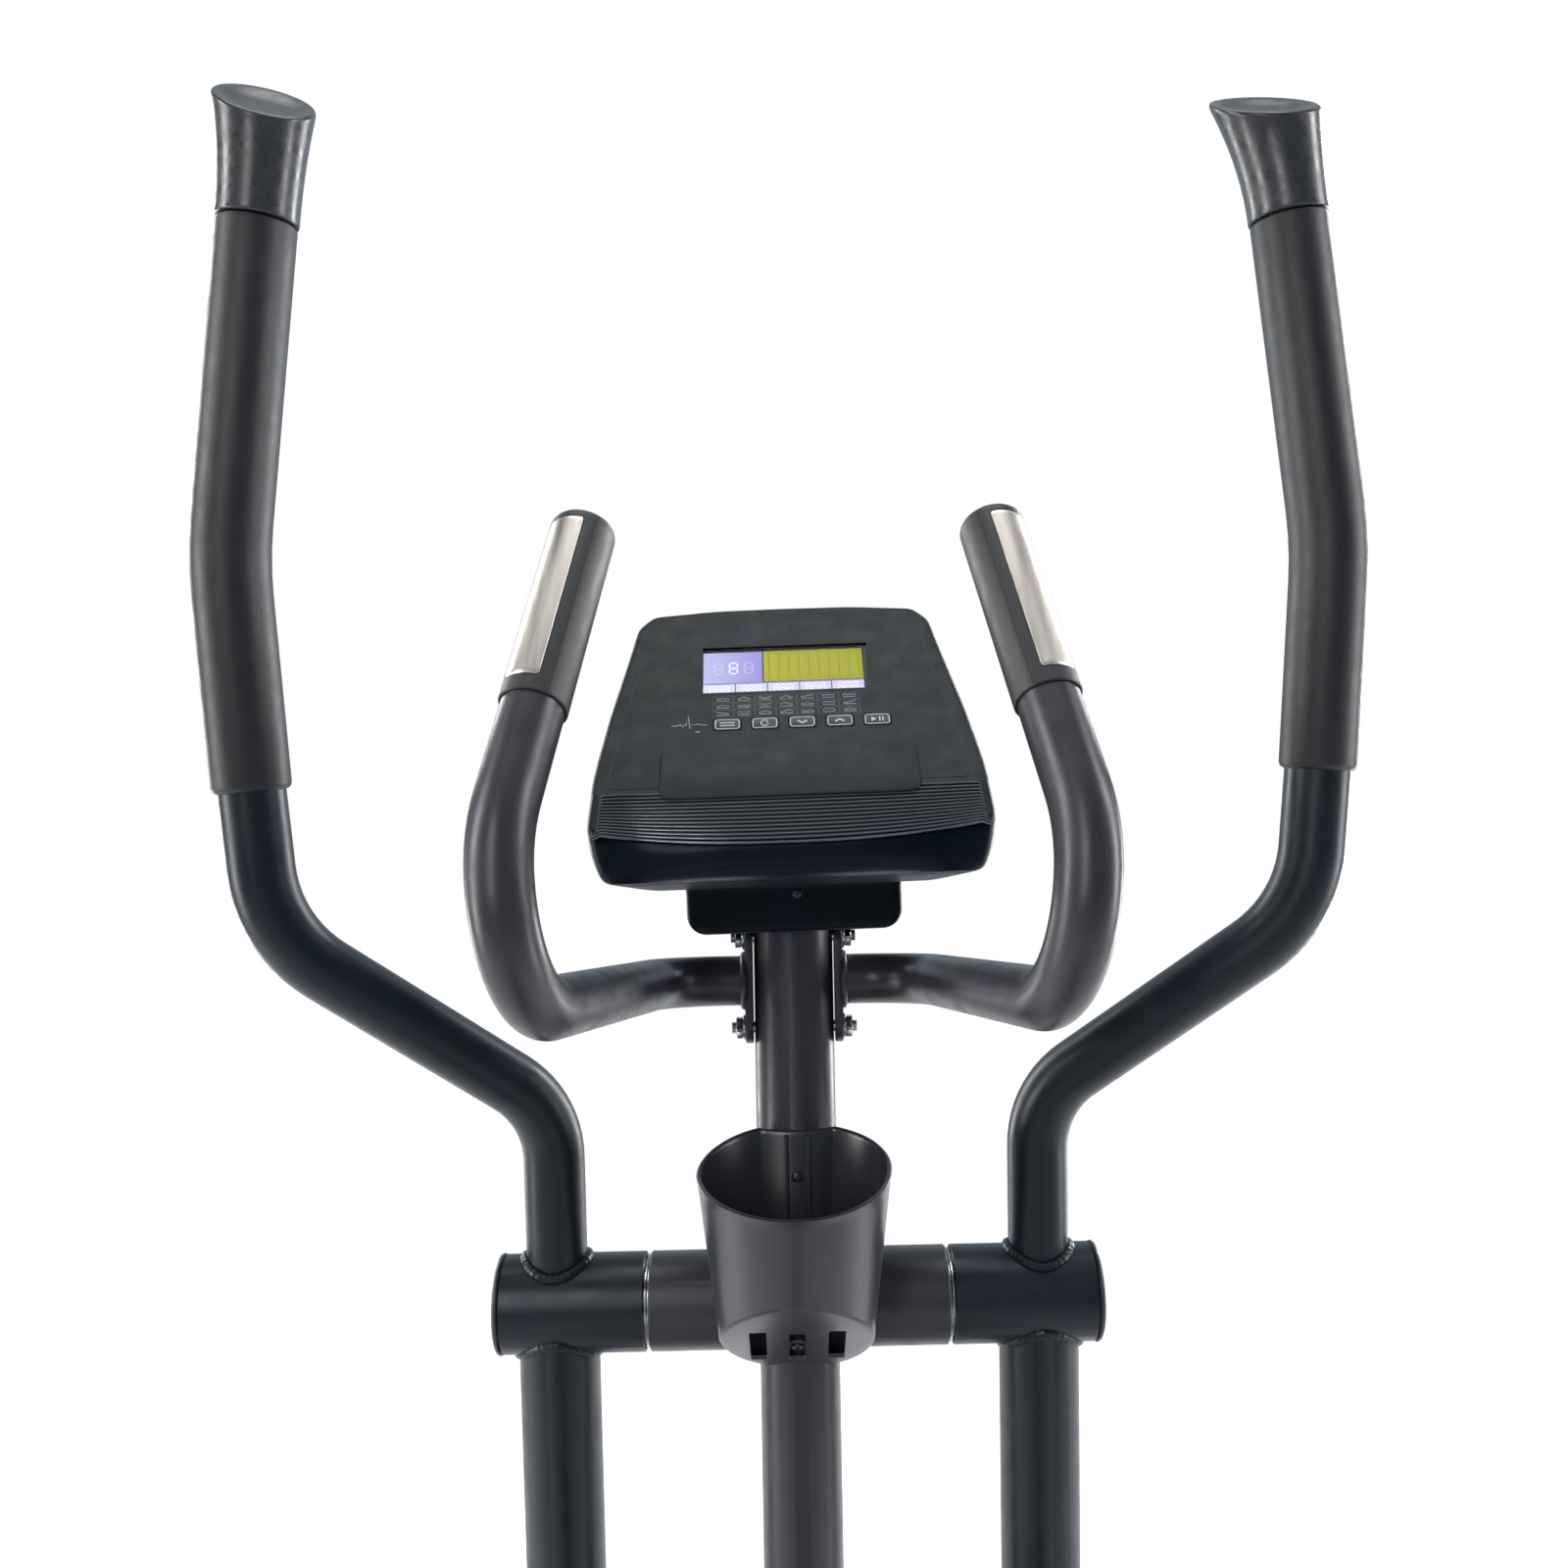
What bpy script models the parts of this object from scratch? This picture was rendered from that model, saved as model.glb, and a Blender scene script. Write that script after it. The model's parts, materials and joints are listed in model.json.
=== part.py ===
"""Rear-drive elliptical trainer, built as an assembly of separate pieces.

Metres, +Z up. The user stands on the -Y side of the mast and faces +Y.
The origin is on the floor, in the middle of the trainer's length and width.
"""

import math

import bmesh
import bpy
from mathutils import Vector

GAP = 0.0003
SIDES = {"left": -1, "right": 1}

# Places that everything else follows from
FRONT_Y, REAR_Y = 0.750, -0.750
PIVOT_Y, PIVOT_Z = 0.545, 0.920
MAST_LEAN = math.radians(6.0)
REST_SWING = math.radians(0.8)

# Tubes, as radii
MAST_R, MAST_BORE_R, MAST_TOP = 0.0254, 0.0230, 0.262
CROSS_R, AXLE_R = 0.0305, 0.0125
LOWER_ARM_R, HANDLE_R, GRIP_R = 0.0254, 0.01905, 0.0225
PULSE_R, PULSE_GRIP_R = 0.015875, 0.01725
PEDAL_ARM_R, STABILIZER_R = 0.019, 0.025

# Pivot, from the middle outwards along X
CROSS_HALF, SLEEVE_IN, SLEEVE_OUT, PIVOT_HALF = 0.094, 0.097, 0.187, 0.1915
SLEEVE_BORE_R, BUSH_BORE_R, BUSH_OUT = 0.0208, 0.0131, 0.176
AXLE_HEAD_R, WASHER_R = 0.0175, 0.0290
ARM_X, ARM_LENGTH = 0.1533, 0.700

# Handle centre-line above the pivot, for the right arm
HANDLE_CORNERS = (
    ((ARM_X, 0.000, 0.000), 0),
    ((ARM_X, 0.000, 0.127), 0.065),
    ((0.3048, -0.060, 0.2510), 0.085),
    ((0.3117, -0.0577, 0.3346), 0),
    ((0.3200, -0.054, 0.4680), 0.250),
    ((0.2986, -0.0455, 0.6574), 0),
)
GRIP_START = 3

# Handle caps: height, base radius, then per side how far the top reaches outwards and inwards,
# and its slopes towards the user and sideways
CAP_HEIGHT, CAP_BASE_R, CAP_DEPTH = 0.071, 0.0232, 0.0272
CAP_TOPS = {"left": (0.0307, 0.0275, 0.60, 0.20), "right": (0.0257, 0.0385, 0.62, -0.09)}

# Pulse bar centre-line from the mast, for the right bar
PULSE_CORNERS = (
    ((0.0305, 0.0210, 0.2010), 0),
    ((0.0824, 0.0210, 0.2010), 0.045),
    ((0.1287, -0.2575, 0.2426), 0.055),
    ((0.1366, -0.2454, 0.3216), 0.085),
    ((0.12515, -0.20163, 0.38064), 0),
    ((0.10785, -0.13583, 0.46944), 0),
)
PULSE_PLATE, PLATE_HALF, PLATE_END_R = (0.0262, 0.0312), 0.026, 0.013
PULSE_BOLT_HEIGHTS = (0.172, 0.230)

# Cup holder, along the mast from the pivot
CUP_RIM_R, CUP_BASE_R, CUP_WALL = 0.0575, 0.0455, 0.0025
CUP_RIM_CHORD, CUP_BASE_CHORD = 0.0242, 0.020
CUP_RIM_BACK, CUP_BASE_BACK = -0.0217, -0.0355
SADDLE_DEPTH = 0.004
CUP_SCREW_HEIGHT = 0.0825

# Console, from the pivot: the face runs from its foot up to its head
FACE_FOOT, FACE_HEAD = (-0.105, 0.335), (0.004, 0.4405)
CONSOLE_WALL, WINDOW_PLAY = 0.003, 0.0008
PARTING_DEPTH = 0.018
NECK_HALF_WIDTH, NECK_FRONT, NECK_REAR = 0.0655, -0.032, 0.072
NECK_BOTTOM, NECK_TOP = 0.242, 0.285
LENS_SIZE, LENS_CENTRE = (0.100, 0.040), 0.0975
KEY_SIZE, KEY_PITCH, KEY_ROW = (0.0157, 0.0092), 0.0216, 0.0500
KEY_FIRST_X = -0.0347
KEY_NAMES = ("mode", "reset", "down", "up", "start")

# Drive at the rear
CRANK_Y, CRANK_Z, CRANK_R = PIVOT_Y - 0.800, 0.300, 0.150
DISC_R, DISC_IN, DISC_OUT = 0.245, 0.066, 0.074
PULLEY_R, BELT_THICK = 0.120, 0.003
FLYWHEEL_Y, FLYWHEEL_Z, FLYWHEEL_R = CRANK_Y - 0.255, 0.270, 0.115
FLY_PULLEY_R, FLY_AXLE_R = 0.016, 0.005
BELT_IN, BELT_OUT = -0.0235, -0.0385
BRACKET_Y, BRACKET_Z = -0.400, 0.345
HOUSING_HALF, HOUSING_WALL = 0.060, 0.003
HOUSING_CORNERS = (
    ((0.020, 0.1165), 0.012),
    ((0.012, 0.230), 0.060),
    ((-0.105, 0.470), 0.090),
    ((-0.260, 0.520), 0.160),
    ((-0.480, 0.490), 0.150),
    ((-0.670, 0.350), 0.090),
    ((-0.665, 0.1165), 0.012),
)

# Base
STABILIZER_Z, BEAM_BOTTOM, BEAM_HEIGHT, BEAM_HALF = 0.037, 0.0623, 0.050, 0.025
FRONT_STABILIZER_Y, REAR_STABILIZER_Y = 0.680, REAR_Y + 0.034
STABILIZER_HALF, CAP_REACH = 0.240, 0.272
WHEEL_R, WHEEL_Y, WHEEL_Z, WHEEL_X = 0.025, FRONT_Y - 0.025, 0.031, 0.252
SOCKET_R, SOCKET_TOP = 0.031, 0.200
FORK_IN, FORK_OUT, FORK_REACH = 0.046, 0.050, 0.020
SHELL_R, SHELL_BORE_R, SHELL_ENDS = 0.026, 0.0133, (-0.018, 0.045)
CAP_SHELL_TOP = 0.031

# Pedal arms, from the front pivot back
EYE_R, EYE_HALF, BOLT_R = 0.020, 0.027, 0.006
CLEVIS_IN, CLEVIS_OUT, CRANK_PIN_R = 0.0275, 0.0325, 0.011
PEDAL_FRONT, PEDAL_REAR = -0.190, -0.530
PEDAL_INNER, PEDAL_OUTER = -0.070, 0.080


def clear_scene():
    for obj in list(bpy.data.objects):
        bpy.data.objects.remove(obj, do_unlink=True)


def material(name, colour, roughness, metallic=0.0):
    mat = bpy.data.materials.get(name)
    if mat:
        return mat
    mat = bpy.data.materials.new(name)
    mat.use_nodes = True
    shader = mat.node_tree.nodes["Principled BSDF"]
    shader.inputs["Base Color"].default_value = (*colour, 1.0)
    shader.inputs["Roughness"].default_value = roughness
    shader.inputs["Metallic"].default_value = metallic
    mat.diffuse_color = (*colour, 1.0)
    return mat


def paint():
    return material("charcoal_paint", (0.060, 0.062, 0.066), 0.42, 0.3)


def steel():
    return material("bright_steel", (0.62, 0.63, 0.64), 0.30, 1.0)


def plastic():
    return material("dark_plastic", (0.045, 0.047, 0.050), 0.50)


def face_plastic():
    return material("face_plastic", (0.085, 0.095, 0.098), 0.60)


def foam():
    return material("grip_foam", (0.070, 0.072, 0.076), 0.62)


def rubber():
    return material("black_rubber", (0.030, 0.030, 0.032), 0.70)


def glass():
    return material("display_glass", (0.45, 0.44, 0.30), 0.12)


def circuit():
    return material("circuit_board", (0.03, 0.16, 0.06), 0.45)


def iron():
    return material("cast_iron", (0.22, 0.22, 0.23), 0.50, 0.9)


def nylon():
    return material("white_nylon", (0.75, 0.75, 0.72), 0.45)


def empty(name, location, angle=0.0):
    """A joint's place, turned about X by the angle."""
    obj = bpy.data.objects.new(name, None)
    obj.empty_display_size = 0.05
    obj.location = location
    obj.rotation_euler = (angle, 0.0, 0.0)
    bpy.context.collection.objects.link(obj)
    return obj


def make(name, rings, mat, parent=None, loop=False):
    """A closed body through rings of points: its ends are faces, or its last ring joins the first."""
    bm = bmesh.new()
    loops = [[bm.verts.new(point) for point in ring] for ring in rings]
    count = len(loops[0])
    pairs = list(zip(loops, loops[1:]))
    if loop:
        pairs.append((loops[-1], loops[0]))
    else:
        bm.faces.new(reversed(loops[0]))
        bm.faces.new(loops[-1])
    for first, second in pairs:
        for i in range(count):
            j = (i + 1) % count
            bm.faces.new((first[i], first[j], second[j], second[i]))
    bmesh.ops.recalc_face_normals(bm, faces=bm.faces)
    mesh = bpy.data.meshes.new(name)
    bm.to_mesh(mesh)
    bm.free()
    mesh.shade_smooth()
    mesh.set_sharp_from_angle(angle=math.radians(35))
    mesh.materials.append(mat)
    obj = bpy.data.objects.new(name, mesh)
    obj.parent = parent
    bpy.context.collection.objects.link(obj)
    return obj


def combine(obj, tool, operation):
    """Joins the tool to the object, or cuts it away, and hides the tool."""
    modifier = obj.modifiers.new(tool.name, "BOOLEAN")
    modifier.operation = operation
    modifier.object = tool
    modifier.solver = "EXACT"
    tool.hide_render = True
    tool.display_type = "WIRE"


def join(obj, *tools):
    for tool in tools:
        combine(obj, tool, "UNION")


def cut(obj, *tools):
    for tool in tools:
        combine(obj, tool, "DIFFERENCE")


def circle(centre, side, up, radius, count):
    centre, side, up = Vector(centre), Vector(side), Vector(up)
    turn = 2 * math.pi / count
    return [
        centre + side * radius * math.cos(i * turn) + up * radius * math.sin(i * turn)
        for i in range(count)
    ]


def rod(name, start, end, radius, mat, parent=None, count=24):
    start, end = Vector(start), Vector(end)
    along = (end - start).normalized()
    side = Vector((0, 1, 0)) if abs(along.y) < 0.9 else Vector((1, 0, 0))
    side = (side - along * side.dot(along)).normalized()
    up = along.cross(side)
    rings = [circle(point, side, up, radius, count) for point in (start, end)]
    return make(name, rings, mat, parent)


def turned(name, profile, mat, y=0.0, z=0.0, parent=None, count=32, loop=False):
    """A body turned about the line along X through y, z. The profile lists x and radius."""
    rings = [
        circle((x, y, z), (0, 1, 0), (0, 0, 1), radius, count) for x, radius in profile
    ]
    return make(name, rings, mat, parent, loop)


def both_ends(half):
    """A profile of x and radius, followed by its mirror image in x."""
    return half + tuple((-x, radius) for x, radius in reversed(half))


def rod_x(name, x_from, x_to, radius, mat, y=0.0, z=0.0, parent=None, count=24):
    """A round bar along X."""
    return turned(name, ((x_from, radius), (x_to, radius)), mat, y, z, parent, count)


def box(name, low, high, mat, parent=None):
    corners = ((low[0], low[1]), (high[0], low[1]), (high[0], high[1]), (low[0], high[1]))
    rings = [[(x, y, z) for x, y in corners] for z in (low[2], high[2])]
    return make(name, rings, mat, parent)


def prism_x(name, outline, x_from, x_to, mat, parent=None):
    """An outline of y and z, carried along X."""
    rings = [[(x, y, z) for y, z in outline] for x in (x_from, x_to)]
    return make(name, rings, mat, parent)


def filleted(corners, step=math.radians(14)):
    """The path through the corners, with each corner's radius as an arc in even steps."""
    points = [Vector(point) for point, _ in corners]
    count = len(corners)
    path, marks = [], []
    for i, (_, radius) in enumerate(corners):
        marks.append(len(path))
        if not radius:
            path.append(points[i])
            continue
        before = (points[i - 1] - points[i]).normalized()
        after = (points[(i + 1) % count] - points[i]).normalized()
        turn = math.pi - before.angle(after)
        reach = radius * math.tan(turn / 2)
        middle = (before + after).normalized()
        centre = points[i] + middle * radius / math.cos(turn / 2)
        start = points[i] + before * reach - centre
        axis_side = (points[i] + after * reach - centre) - start * math.cos(turn)
        axis_side.normalize()
        steps = max(2, math.ceil(turn / step))
        for k in range(steps + 1):
            angle = turn * k / steps
            path.append(centre + start * math.cos(angle) + axis_side * radius * math.sin(angle))
    return path, marks


def frames(path, first_side):
    """A side and an up direction at each point, carried along the path without twist."""
    side = Vector(first_side)
    result = []
    for i, point in enumerate(path):
        before, after = path[max(i - 1, 0)], path[min(i + 1, len(path) - 1)]
        along = ((after - point).normalized() + (point - before).normalized()).normalized()
        side = (side - along * side.dot(along)).normalized()
        result.append((point, side, along.cross(side)))
    return result


def pipe_rings(places, radius, count):
    return [circle(point, side, up, radius, count) for point, side, up in places]


def mirrored(points, side):
    return [((side * x, y, z), radius) for (x, y, z), radius in points]


def flat_ring(outline, plane):
    """Points of an outline of x and y, each at the height that the plane gives."""
    return [(x, y, plane(y)) for x, y in outline]


def link_places():
    """Crank angle at rest, and the pedal arms' length, with both arms' linkages closed."""
    forward = ARM_LENGTH * math.sin(REST_SWING)
    drop = CRANK_Z - (PIVOT_Z - ARM_LENGTH * math.cos(REST_SWING))
    reach = PIVOT_Y - CRANK_Y
    angle = 0.0
    for _ in range(20):
        offset = -drop * CRANK_R * math.cos(angle) / reach
        angle = math.asin((forward - offset) / CRANK_R)
    rise = drop + CRANK_R * math.cos(angle)
    return angle, math.hypot(reach + offset, rise)


# Base and frame


def build_main_frame():
    mat = paint()
    top = BEAM_BOTTOM + BEAM_HEIGHT
    frame = box(
        "main_frame",
        (-BEAM_HALF, REAR_Y + 0.015, BEAM_BOTTOM),
        (BEAM_HALF, FRONT_STABILIZER_Y + 0.022, top),
        mat,
    )
    lean = Vector((0, math.sin(MAST_LEAN), math.cos(MAST_LEAN)))
    pivot = Vector((0, PIVOT_Y, PIVOT_Z))
    socket_low = pivot - lean * (PIVOT_Z - 0.075) / lean.z
    socket_high = pivot - lean * (PIVOT_Z - SOCKET_TOP) / lean.z
    bore_low = pivot - lean * (PIVOT_Z - 0.110) / lean.z
    join(
        frame,
        rod("socket_tube", socket_low, socket_high, SOCKET_R, mat),
        box(
            "crank_upright",
            (-0.0155, CRANK_Y - 0.022, top - 0.010),
            (0.0235, CRANK_Y + 0.022, CRANK_Z),
            mat,
        ),
        rod_x("crank_shell", *SHELL_ENDS, SHELL_R, mat, CRANK_Y, CRANK_Z),
        *fork_parts(top, mat),
        *bracket_mount(mat),
    )
    cut(
        frame,
        rod("socket_bore", bore_low, socket_high + lean * 0.01, MAST_R + 0.0006, mat),
        rod_x("crank_bore", -0.03, 0.06, SHELL_BORE_R, mat, CRANK_Y, CRANK_Z),
        rod_x("fork_bore", -0.06, 0.06, FLY_AXLE_R + GAP, mat, FLYWHEEL_Y, FLYWHEEL_Z, count=12),
    )


def fork_parts(top, mat):
    """The flywheel's two upright plates and the plate that they stand on."""
    rear, front = FLYWHEEL_Y - FORK_REACH, FLYWHEEL_Y + FORK_REACH
    height = FLYWHEEL_Z + 0.022
    return (
        box("fork_base", (-FORK_OUT, rear, top - 0.006), (FORK_OUT, front, top + 0.0045), mat),
        box("fork_right", (FORK_IN, rear, top - 0.003), (FORK_OUT, front, height), mat),
        box("fork_left", (-FORK_OUT, rear, top - 0.003), (-FORK_IN, front, height), mat),
    )


def bracket_mount(mat):
    """The arm from the crank's shell that carries the magnet bracket's stud."""
    outline = (
        (CRANK_Y, CRANK_Z - 0.014),
        (CRANK_Y, CRANK_Z + 0.014),
        (BRACKET_Y, BRACKET_Z + 0.011),
        (BRACKET_Y - 0.011, BRACKET_Z),
        (BRACKET_Y, BRACKET_Z - 0.011),
    )
    return (
        prism_x("bracket_link", outline, 0.0395, 0.0445, mat),
        rod_x("bracket_stud", 0.004, 0.041, 0.005, mat, BRACKET_Y, BRACKET_Z, count=12),
    )


def cap_outline(y, reach_back, reach_front):
    """A rounded cap section with a flat foot on the floor, and as many points as the tube."""
    top = []
    for i in range(13):
        angle = math.pi * i / 12
        reach = reach_front if i < 6 else reach_back
        top.append((y + reach * math.cos(angle), STABILIZER_Z + CAP_SHELL_TOP * math.sin(angle)))
    sole = [
        (y - reach_back, 0.014),
        (y - reach_back + 0.004, 0.004),
        (y - reach_back + 0.009, 0.0),
        (y, 0.0),
        (y + reach_front - 0.009, 0.0),
        (y + reach_front - 0.004, 0.004),
        (y + reach_front, 0.014),
    ]
    return top + sole


def build_stabilizer(end, y, reach_front):
    tube = (-STABILIZER_HALF, STABILIZER_HALF, STABILIZER_R)
    rod_x(f"{end}_stabilizer", *tube, paint(), y, STABILIZER_Z, count=20)
    outline = cap_outline(y, 0.034, reach_front)
    middle = sum(point[0] for point in outline) / len(outline)
    smaller = [(middle + (py - middle) * 0.86, 0.004 + pz * 0.86) for py, pz in outline]
    hole = []
    for i in range(20):
        angle, radius = 2 * math.pi * i / 20, STABILIZER_R + GAP * 2
        hole.append((y + radius * math.cos(angle), STABILIZER_Z + radius * math.sin(angle)))
    for side_name, side in SIDES.items():
        stations = (
            (hole, STABILIZER_HALF + GAP),
            (hole, STABILIZER_HALF - 0.030),
            (outline, STABILIZER_HALF - 0.030),
            (outline, CAP_REACH - 0.006),
            (smaller, CAP_REACH),
        )
        rings = [[(side * x, py, pz) for py, pz in shape] for shape, x in stations]
        cap = make(f"{end}_{side_name}_end_cap", rings, plastic())
        if end == "front":
            build_transport_wheel(side_name, side, cap)


def build_transport_wheel(side_name, side, cap):
    slot = box(
        f"{side_name}_wheel_slot",
        (side * WHEEL_X - 0.0105, WHEEL_Y - WHEEL_R - 0.002, -0.01),
        (side * WHEEL_X + 0.0105, WHEEL_Y + 0.05, 0.08),
        plastic(),
    )
    cut(cap, slot)
    pin_ends = (side * WHEEL_X - 0.0115, side * WHEEL_X + 0.0115)
    join(cap, rod_x(f"{side_name}_wheel_pin", *pin_ends, 0.004, plastic(), WHEEL_Y, WHEEL_Z, count=12))
    place = empty(f"{side_name}_wheel_axis", (side * WHEEL_X, WHEEL_Y, WHEEL_Z))
    half = ((-0.009, 0.0046), (-0.009, 0.022), (-0.006, WHEEL_R))
    turned(f"{side_name}_transport_wheel", both_ends(half), rubber(), parent=place, count=20, loop=True)


# Mast, cup and pivot


def build_mast(mast_line):
    mat = paint()
    foot = -(PIVOT_Z - 0.113) / math.cos(MAST_LEAN)
    mast = rod("mast", (0, 0, foot), (0, 0, MAST_TOP), MAST_R, mat, mast_line)
    join(mast, rod_x("cross_tube", -CROSS_HALF, CROSS_HALF, CROSS_R, mat, parent=mast_line))
    cut(
        mast,
        rod("mast_bore", (0, 0, foot - 0.01), (0, 0, MAST_TOP + 0.01), MAST_BORE_R, mat, mast_line),
        rod_x("axle_bore", -0.1, 0.1, AXLE_R + GAP, mat, parent=mast_line, count=20),
        screw_hole("mast_screw_bore", -0.03, mat, mast_line),
    )
    for i, height in enumerate(PULSE_BOLT_HEIGHTS):
        cut(mast, rod_x(f"bolt_bore_{i}", -0.04, 0.04, 0.0045, mat, 0, height, mast_line, count=12))


def screw_hole(name, front, mat, mast_line):
    start, end = (0, front, CUP_SCREW_HEIGHT), (0, 0, CUP_SCREW_HEIGHT)
    return rod(name, start, end, 0.0026, mat, mast_line, count=10)


def cup_section(radius, chord, back_y, inset):
    """A round outline whose back follows the front of the mast in a shallow saddle."""
    centre = back_y - math.sqrt(radius**2 - chord**2)
    radius, chord = radius - inset, chord - inset * 0.6
    start = math.asin(chord / radius)
    steps = 24
    arc = [start + (2 * math.pi - 2 * start) * i / steps for i in range(steps + 1)]
    points = [(radius * math.sin(a), centre + radius * math.cos(a)) for a in arc]
    back = points[0][1]
    for k in (1, 2, 3):
        across = -chord + chord * k / 2
        depth = SADDLE_DEPTH * (1 - (across / chord) ** 2)
        points.append((across, back - depth))
    return points


def build_cup(mast_line):
    def rim(y):
        return 0.1105 + 0.280 * (y + 0.028)

    def base(y):
        return -0.0361 - 0.708 * (y + 0.0282)

    outer_rim = cup_section(CUP_RIM_R, CUP_RIM_CHORD, CUP_RIM_BACK, 0)
    outer_base = cup_section(CUP_BASE_R, CUP_BASE_CHORD, CUP_BASE_BACK, 0)
    inner_rim = cup_section(CUP_RIM_R, CUP_RIM_CHORD, CUP_RIM_BACK, CUP_WALL)
    inner_base = cup_section(CUP_BASE_R, CUP_BASE_CHORD, CUP_BASE_BACK, CUP_WALL)
    rings = [
        flat_ring(outer_base, base),
        flat_ring(outer_rim, rim),
        flat_ring(inner_rim, rim),
        flat_ring(inner_base, lambda y: base(y) + CUP_WALL),
    ]
    cup = make("cup_holder", rings, plastic(), mast_line)
    for i, x in enumerate((-0.0245, 0.0, 0.0245)):
        low = (x - 0.0045, -0.074, -0.10)
        cut(cup, box(f"cup_slot_{i}", low, (x + 0.0045, -0.058, 0.02), plastic(), mast_line))
    cut(cup, screw_hole("cup_screw_bore", -0.04, plastic(), mast_line))
    build_cup_screw(mast_line)


def build_cup_screw(mast_line):
    head_y = CUP_RIM_BACK - SADDLE_DEPTH - CUP_WALL - 0.0045
    stations = (
        (head_y - 0.003, 0.003),
        (head_y - 0.0015, 0.0048),
        (head_y, 0.0048),
        (head_y, 0.0022),
        (-0.014, 0.0022),
    )
    across, up = (1, 0, 0), (0, 0, 1)
    rings = [circle((0, y, CUP_SCREW_HEIGHT), across, up, radius, 12) for y, radius in stations]
    make("cup_screw", rings, steel(), mast_line)


def build_pivot(mast_line):
    """The axle and the washers that the arms' sleeves run against."""
    face = -BUSH_OUT - 0.0008
    head = ((face - 0.004, AXLE_HEAD_R), (face, AXLE_HEAD_R), (face, AXLE_R))
    turned("pivot_axle", both_ends(head), steel(), parent=mast_line, count=16)
    for side_name, side in SIDES.items():
        inner, outer = side * (CROSS_HALF + GAP), side * (SLEEVE_IN - GAP)
        profile = ((inner, BUSH_BORE_R), (inner, WASHER_R), (outer, WASHER_R), (outer, BUSH_BORE_R))
        turned(f"{side_name}_wave_washer", profile, steel(), parent=mast_line, count=20, loop=True)


# Swing arms and handles


def handle_places(side):
    path, marks = filleted(mirrored(HANDLE_CORNERS, side))
    return frames(path, (0, 1, 0)), marks[GRIP_START]


def build_swing_arm(side_name, side, place):
    mat = paint()
    places, grip_start = handle_places(side)
    x, foot = side * ARM_X, -ARM_LENGTH
    arm = make(f"{side_name}_swing_arm", pipe_rings(places, HANDLE_R, 16), mat, place)
    tube_ends = ((x, 0, -0.005), (x, 0, foot + 0.004))
    sleeve = (side * SLEEVE_IN, side * SLEEVE_OUT, CROSS_R)
    eye = (x - EYE_HALF, x + EYE_HALF, EYE_R)
    join(
        arm,
        rod(f"{side_name}_lower_tube", *tube_ends, LOWER_ARM_R, mat, place, count=20),
        rod_x(f"{side_name}_sleeve", *sleeve, mat, parent=place),
        rod_x(f"{side_name}_eye", *eye, mat, 0, foot, place, count=20),
    )
    sleeve_bore = (side * 0.09, side * 0.2, SLEEVE_BORE_R)
    eye_bore = (x - 0.05, x + 0.05, BOLT_R + 2 * GAP)
    cut(
        arm,
        rod_x(f"{side_name}_sleeve_bore", *sleeve_bore, mat, parent=place),
        rod_x(f"{side_name}_eye_bore", *eye_bore, mat, 0, foot, place, count=16),
    )
    build_grip(side_name, places[grip_start:], place)
    build_handle_cap(side_name, side, place)
    build_bushing(side_name, side, place)


def build_grip(side_name, places, place):
    """A foam sleeve over the handle tube, with a rounded lower edge."""
    start, side, up = places[0]
    ahead = (places[1][0] - start).normalized()
    second = (start + ahead * 0.004, side, up)
    outer = pipe_rings([places[0]], GRIP_R - 0.003, 16)
    outer += pipe_rings([second] + places[1:], GRIP_R, 16)
    inner = pipe_rings([places[0], second] + places[1:], HANDLE_R + GAP, 16)
    make(f"{side_name}_handle_grip", outer + inner[::-1], foam(), place, loop=True)


def build_handle_cap(side_name, side, place):
    """A flared end cap: round at the grip, and at its top an oval that slopes towards the user."""
    outer, inner, near_slope, side_slope = CAP_TOPS[side_name]
    corners = [Vector(point) for point, _ in mirrored(HANDLE_CORNERS, side)]
    end = corners[-1]
    along = (end - corners[-2]).normalized()
    outward = (Vector((side, 0, 0)) - along * side * along.x).normalized()
    away = (Vector((0, 1, 0)) - along * along.y).normalized()
    rings = []
    for t, size in ((0.0, 1.0), (0.3, 1.0), (0.6, 1.0), (0.85, 1.0), (0.96, 1.0), (1.0, 0.86)):
        flare = t**2.2
        half_x = (CAP_BASE_R + ((outer + inner) / 2 - CAP_BASE_R) * flare) * size
        half_y = (CAP_BASE_R + (CAP_DEPTH - CAP_BASE_R) * flare) * size
        centre = end + along * (0.0005 + CAP_HEIGHT * t) + outward * (outer - inner) / 2 * flare
        ring = []
        for i in range(20):
            angle = 2 * math.pi * i / 20
            across, deep = half_x * math.cos(angle), half_y * math.sin(angle)
            slant = along * (near_slope * deep + side_slope * across) * flare
            ring.append(centre + outward * across + away * deep + slant)
        rings.append(ring)
    make(f"{side_name}_handle_cap", rings, rubber(), place)


def build_bushing(side_name, side, place):
    inner, outer = side * (SLEEVE_IN + GAP), side * BUSH_OUT
    wall = SLEEVE_BORE_R - 0.0006
    profile = ((inner, BUSH_BORE_R), (inner, wall), (outer, wall), (outer, BUSH_BORE_R))
    turned(f"{side_name}_pivot_bushing", profile, nylon(), parent=place, count=20, loop=True)
    stations = (
        (SLEEVE_OUT - 0.005, 0.0195),
        (SLEEVE_OUT + GAP, 0.0195),
        (SLEEVE_OUT + GAP, 0.0310),
        (SLEEVE_OUT + 0.0022, 0.0308),
        (PIVOT_HALF - 0.0008, 0.0285),
        (PIVOT_HALF, 0.0255),
    )
    profile = [(side * x, radius) for x, radius in stations]
    turned(f"{side_name}_pivot_cap", profile, plastic(), parent=place, count=24)


# Pulse bars


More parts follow.
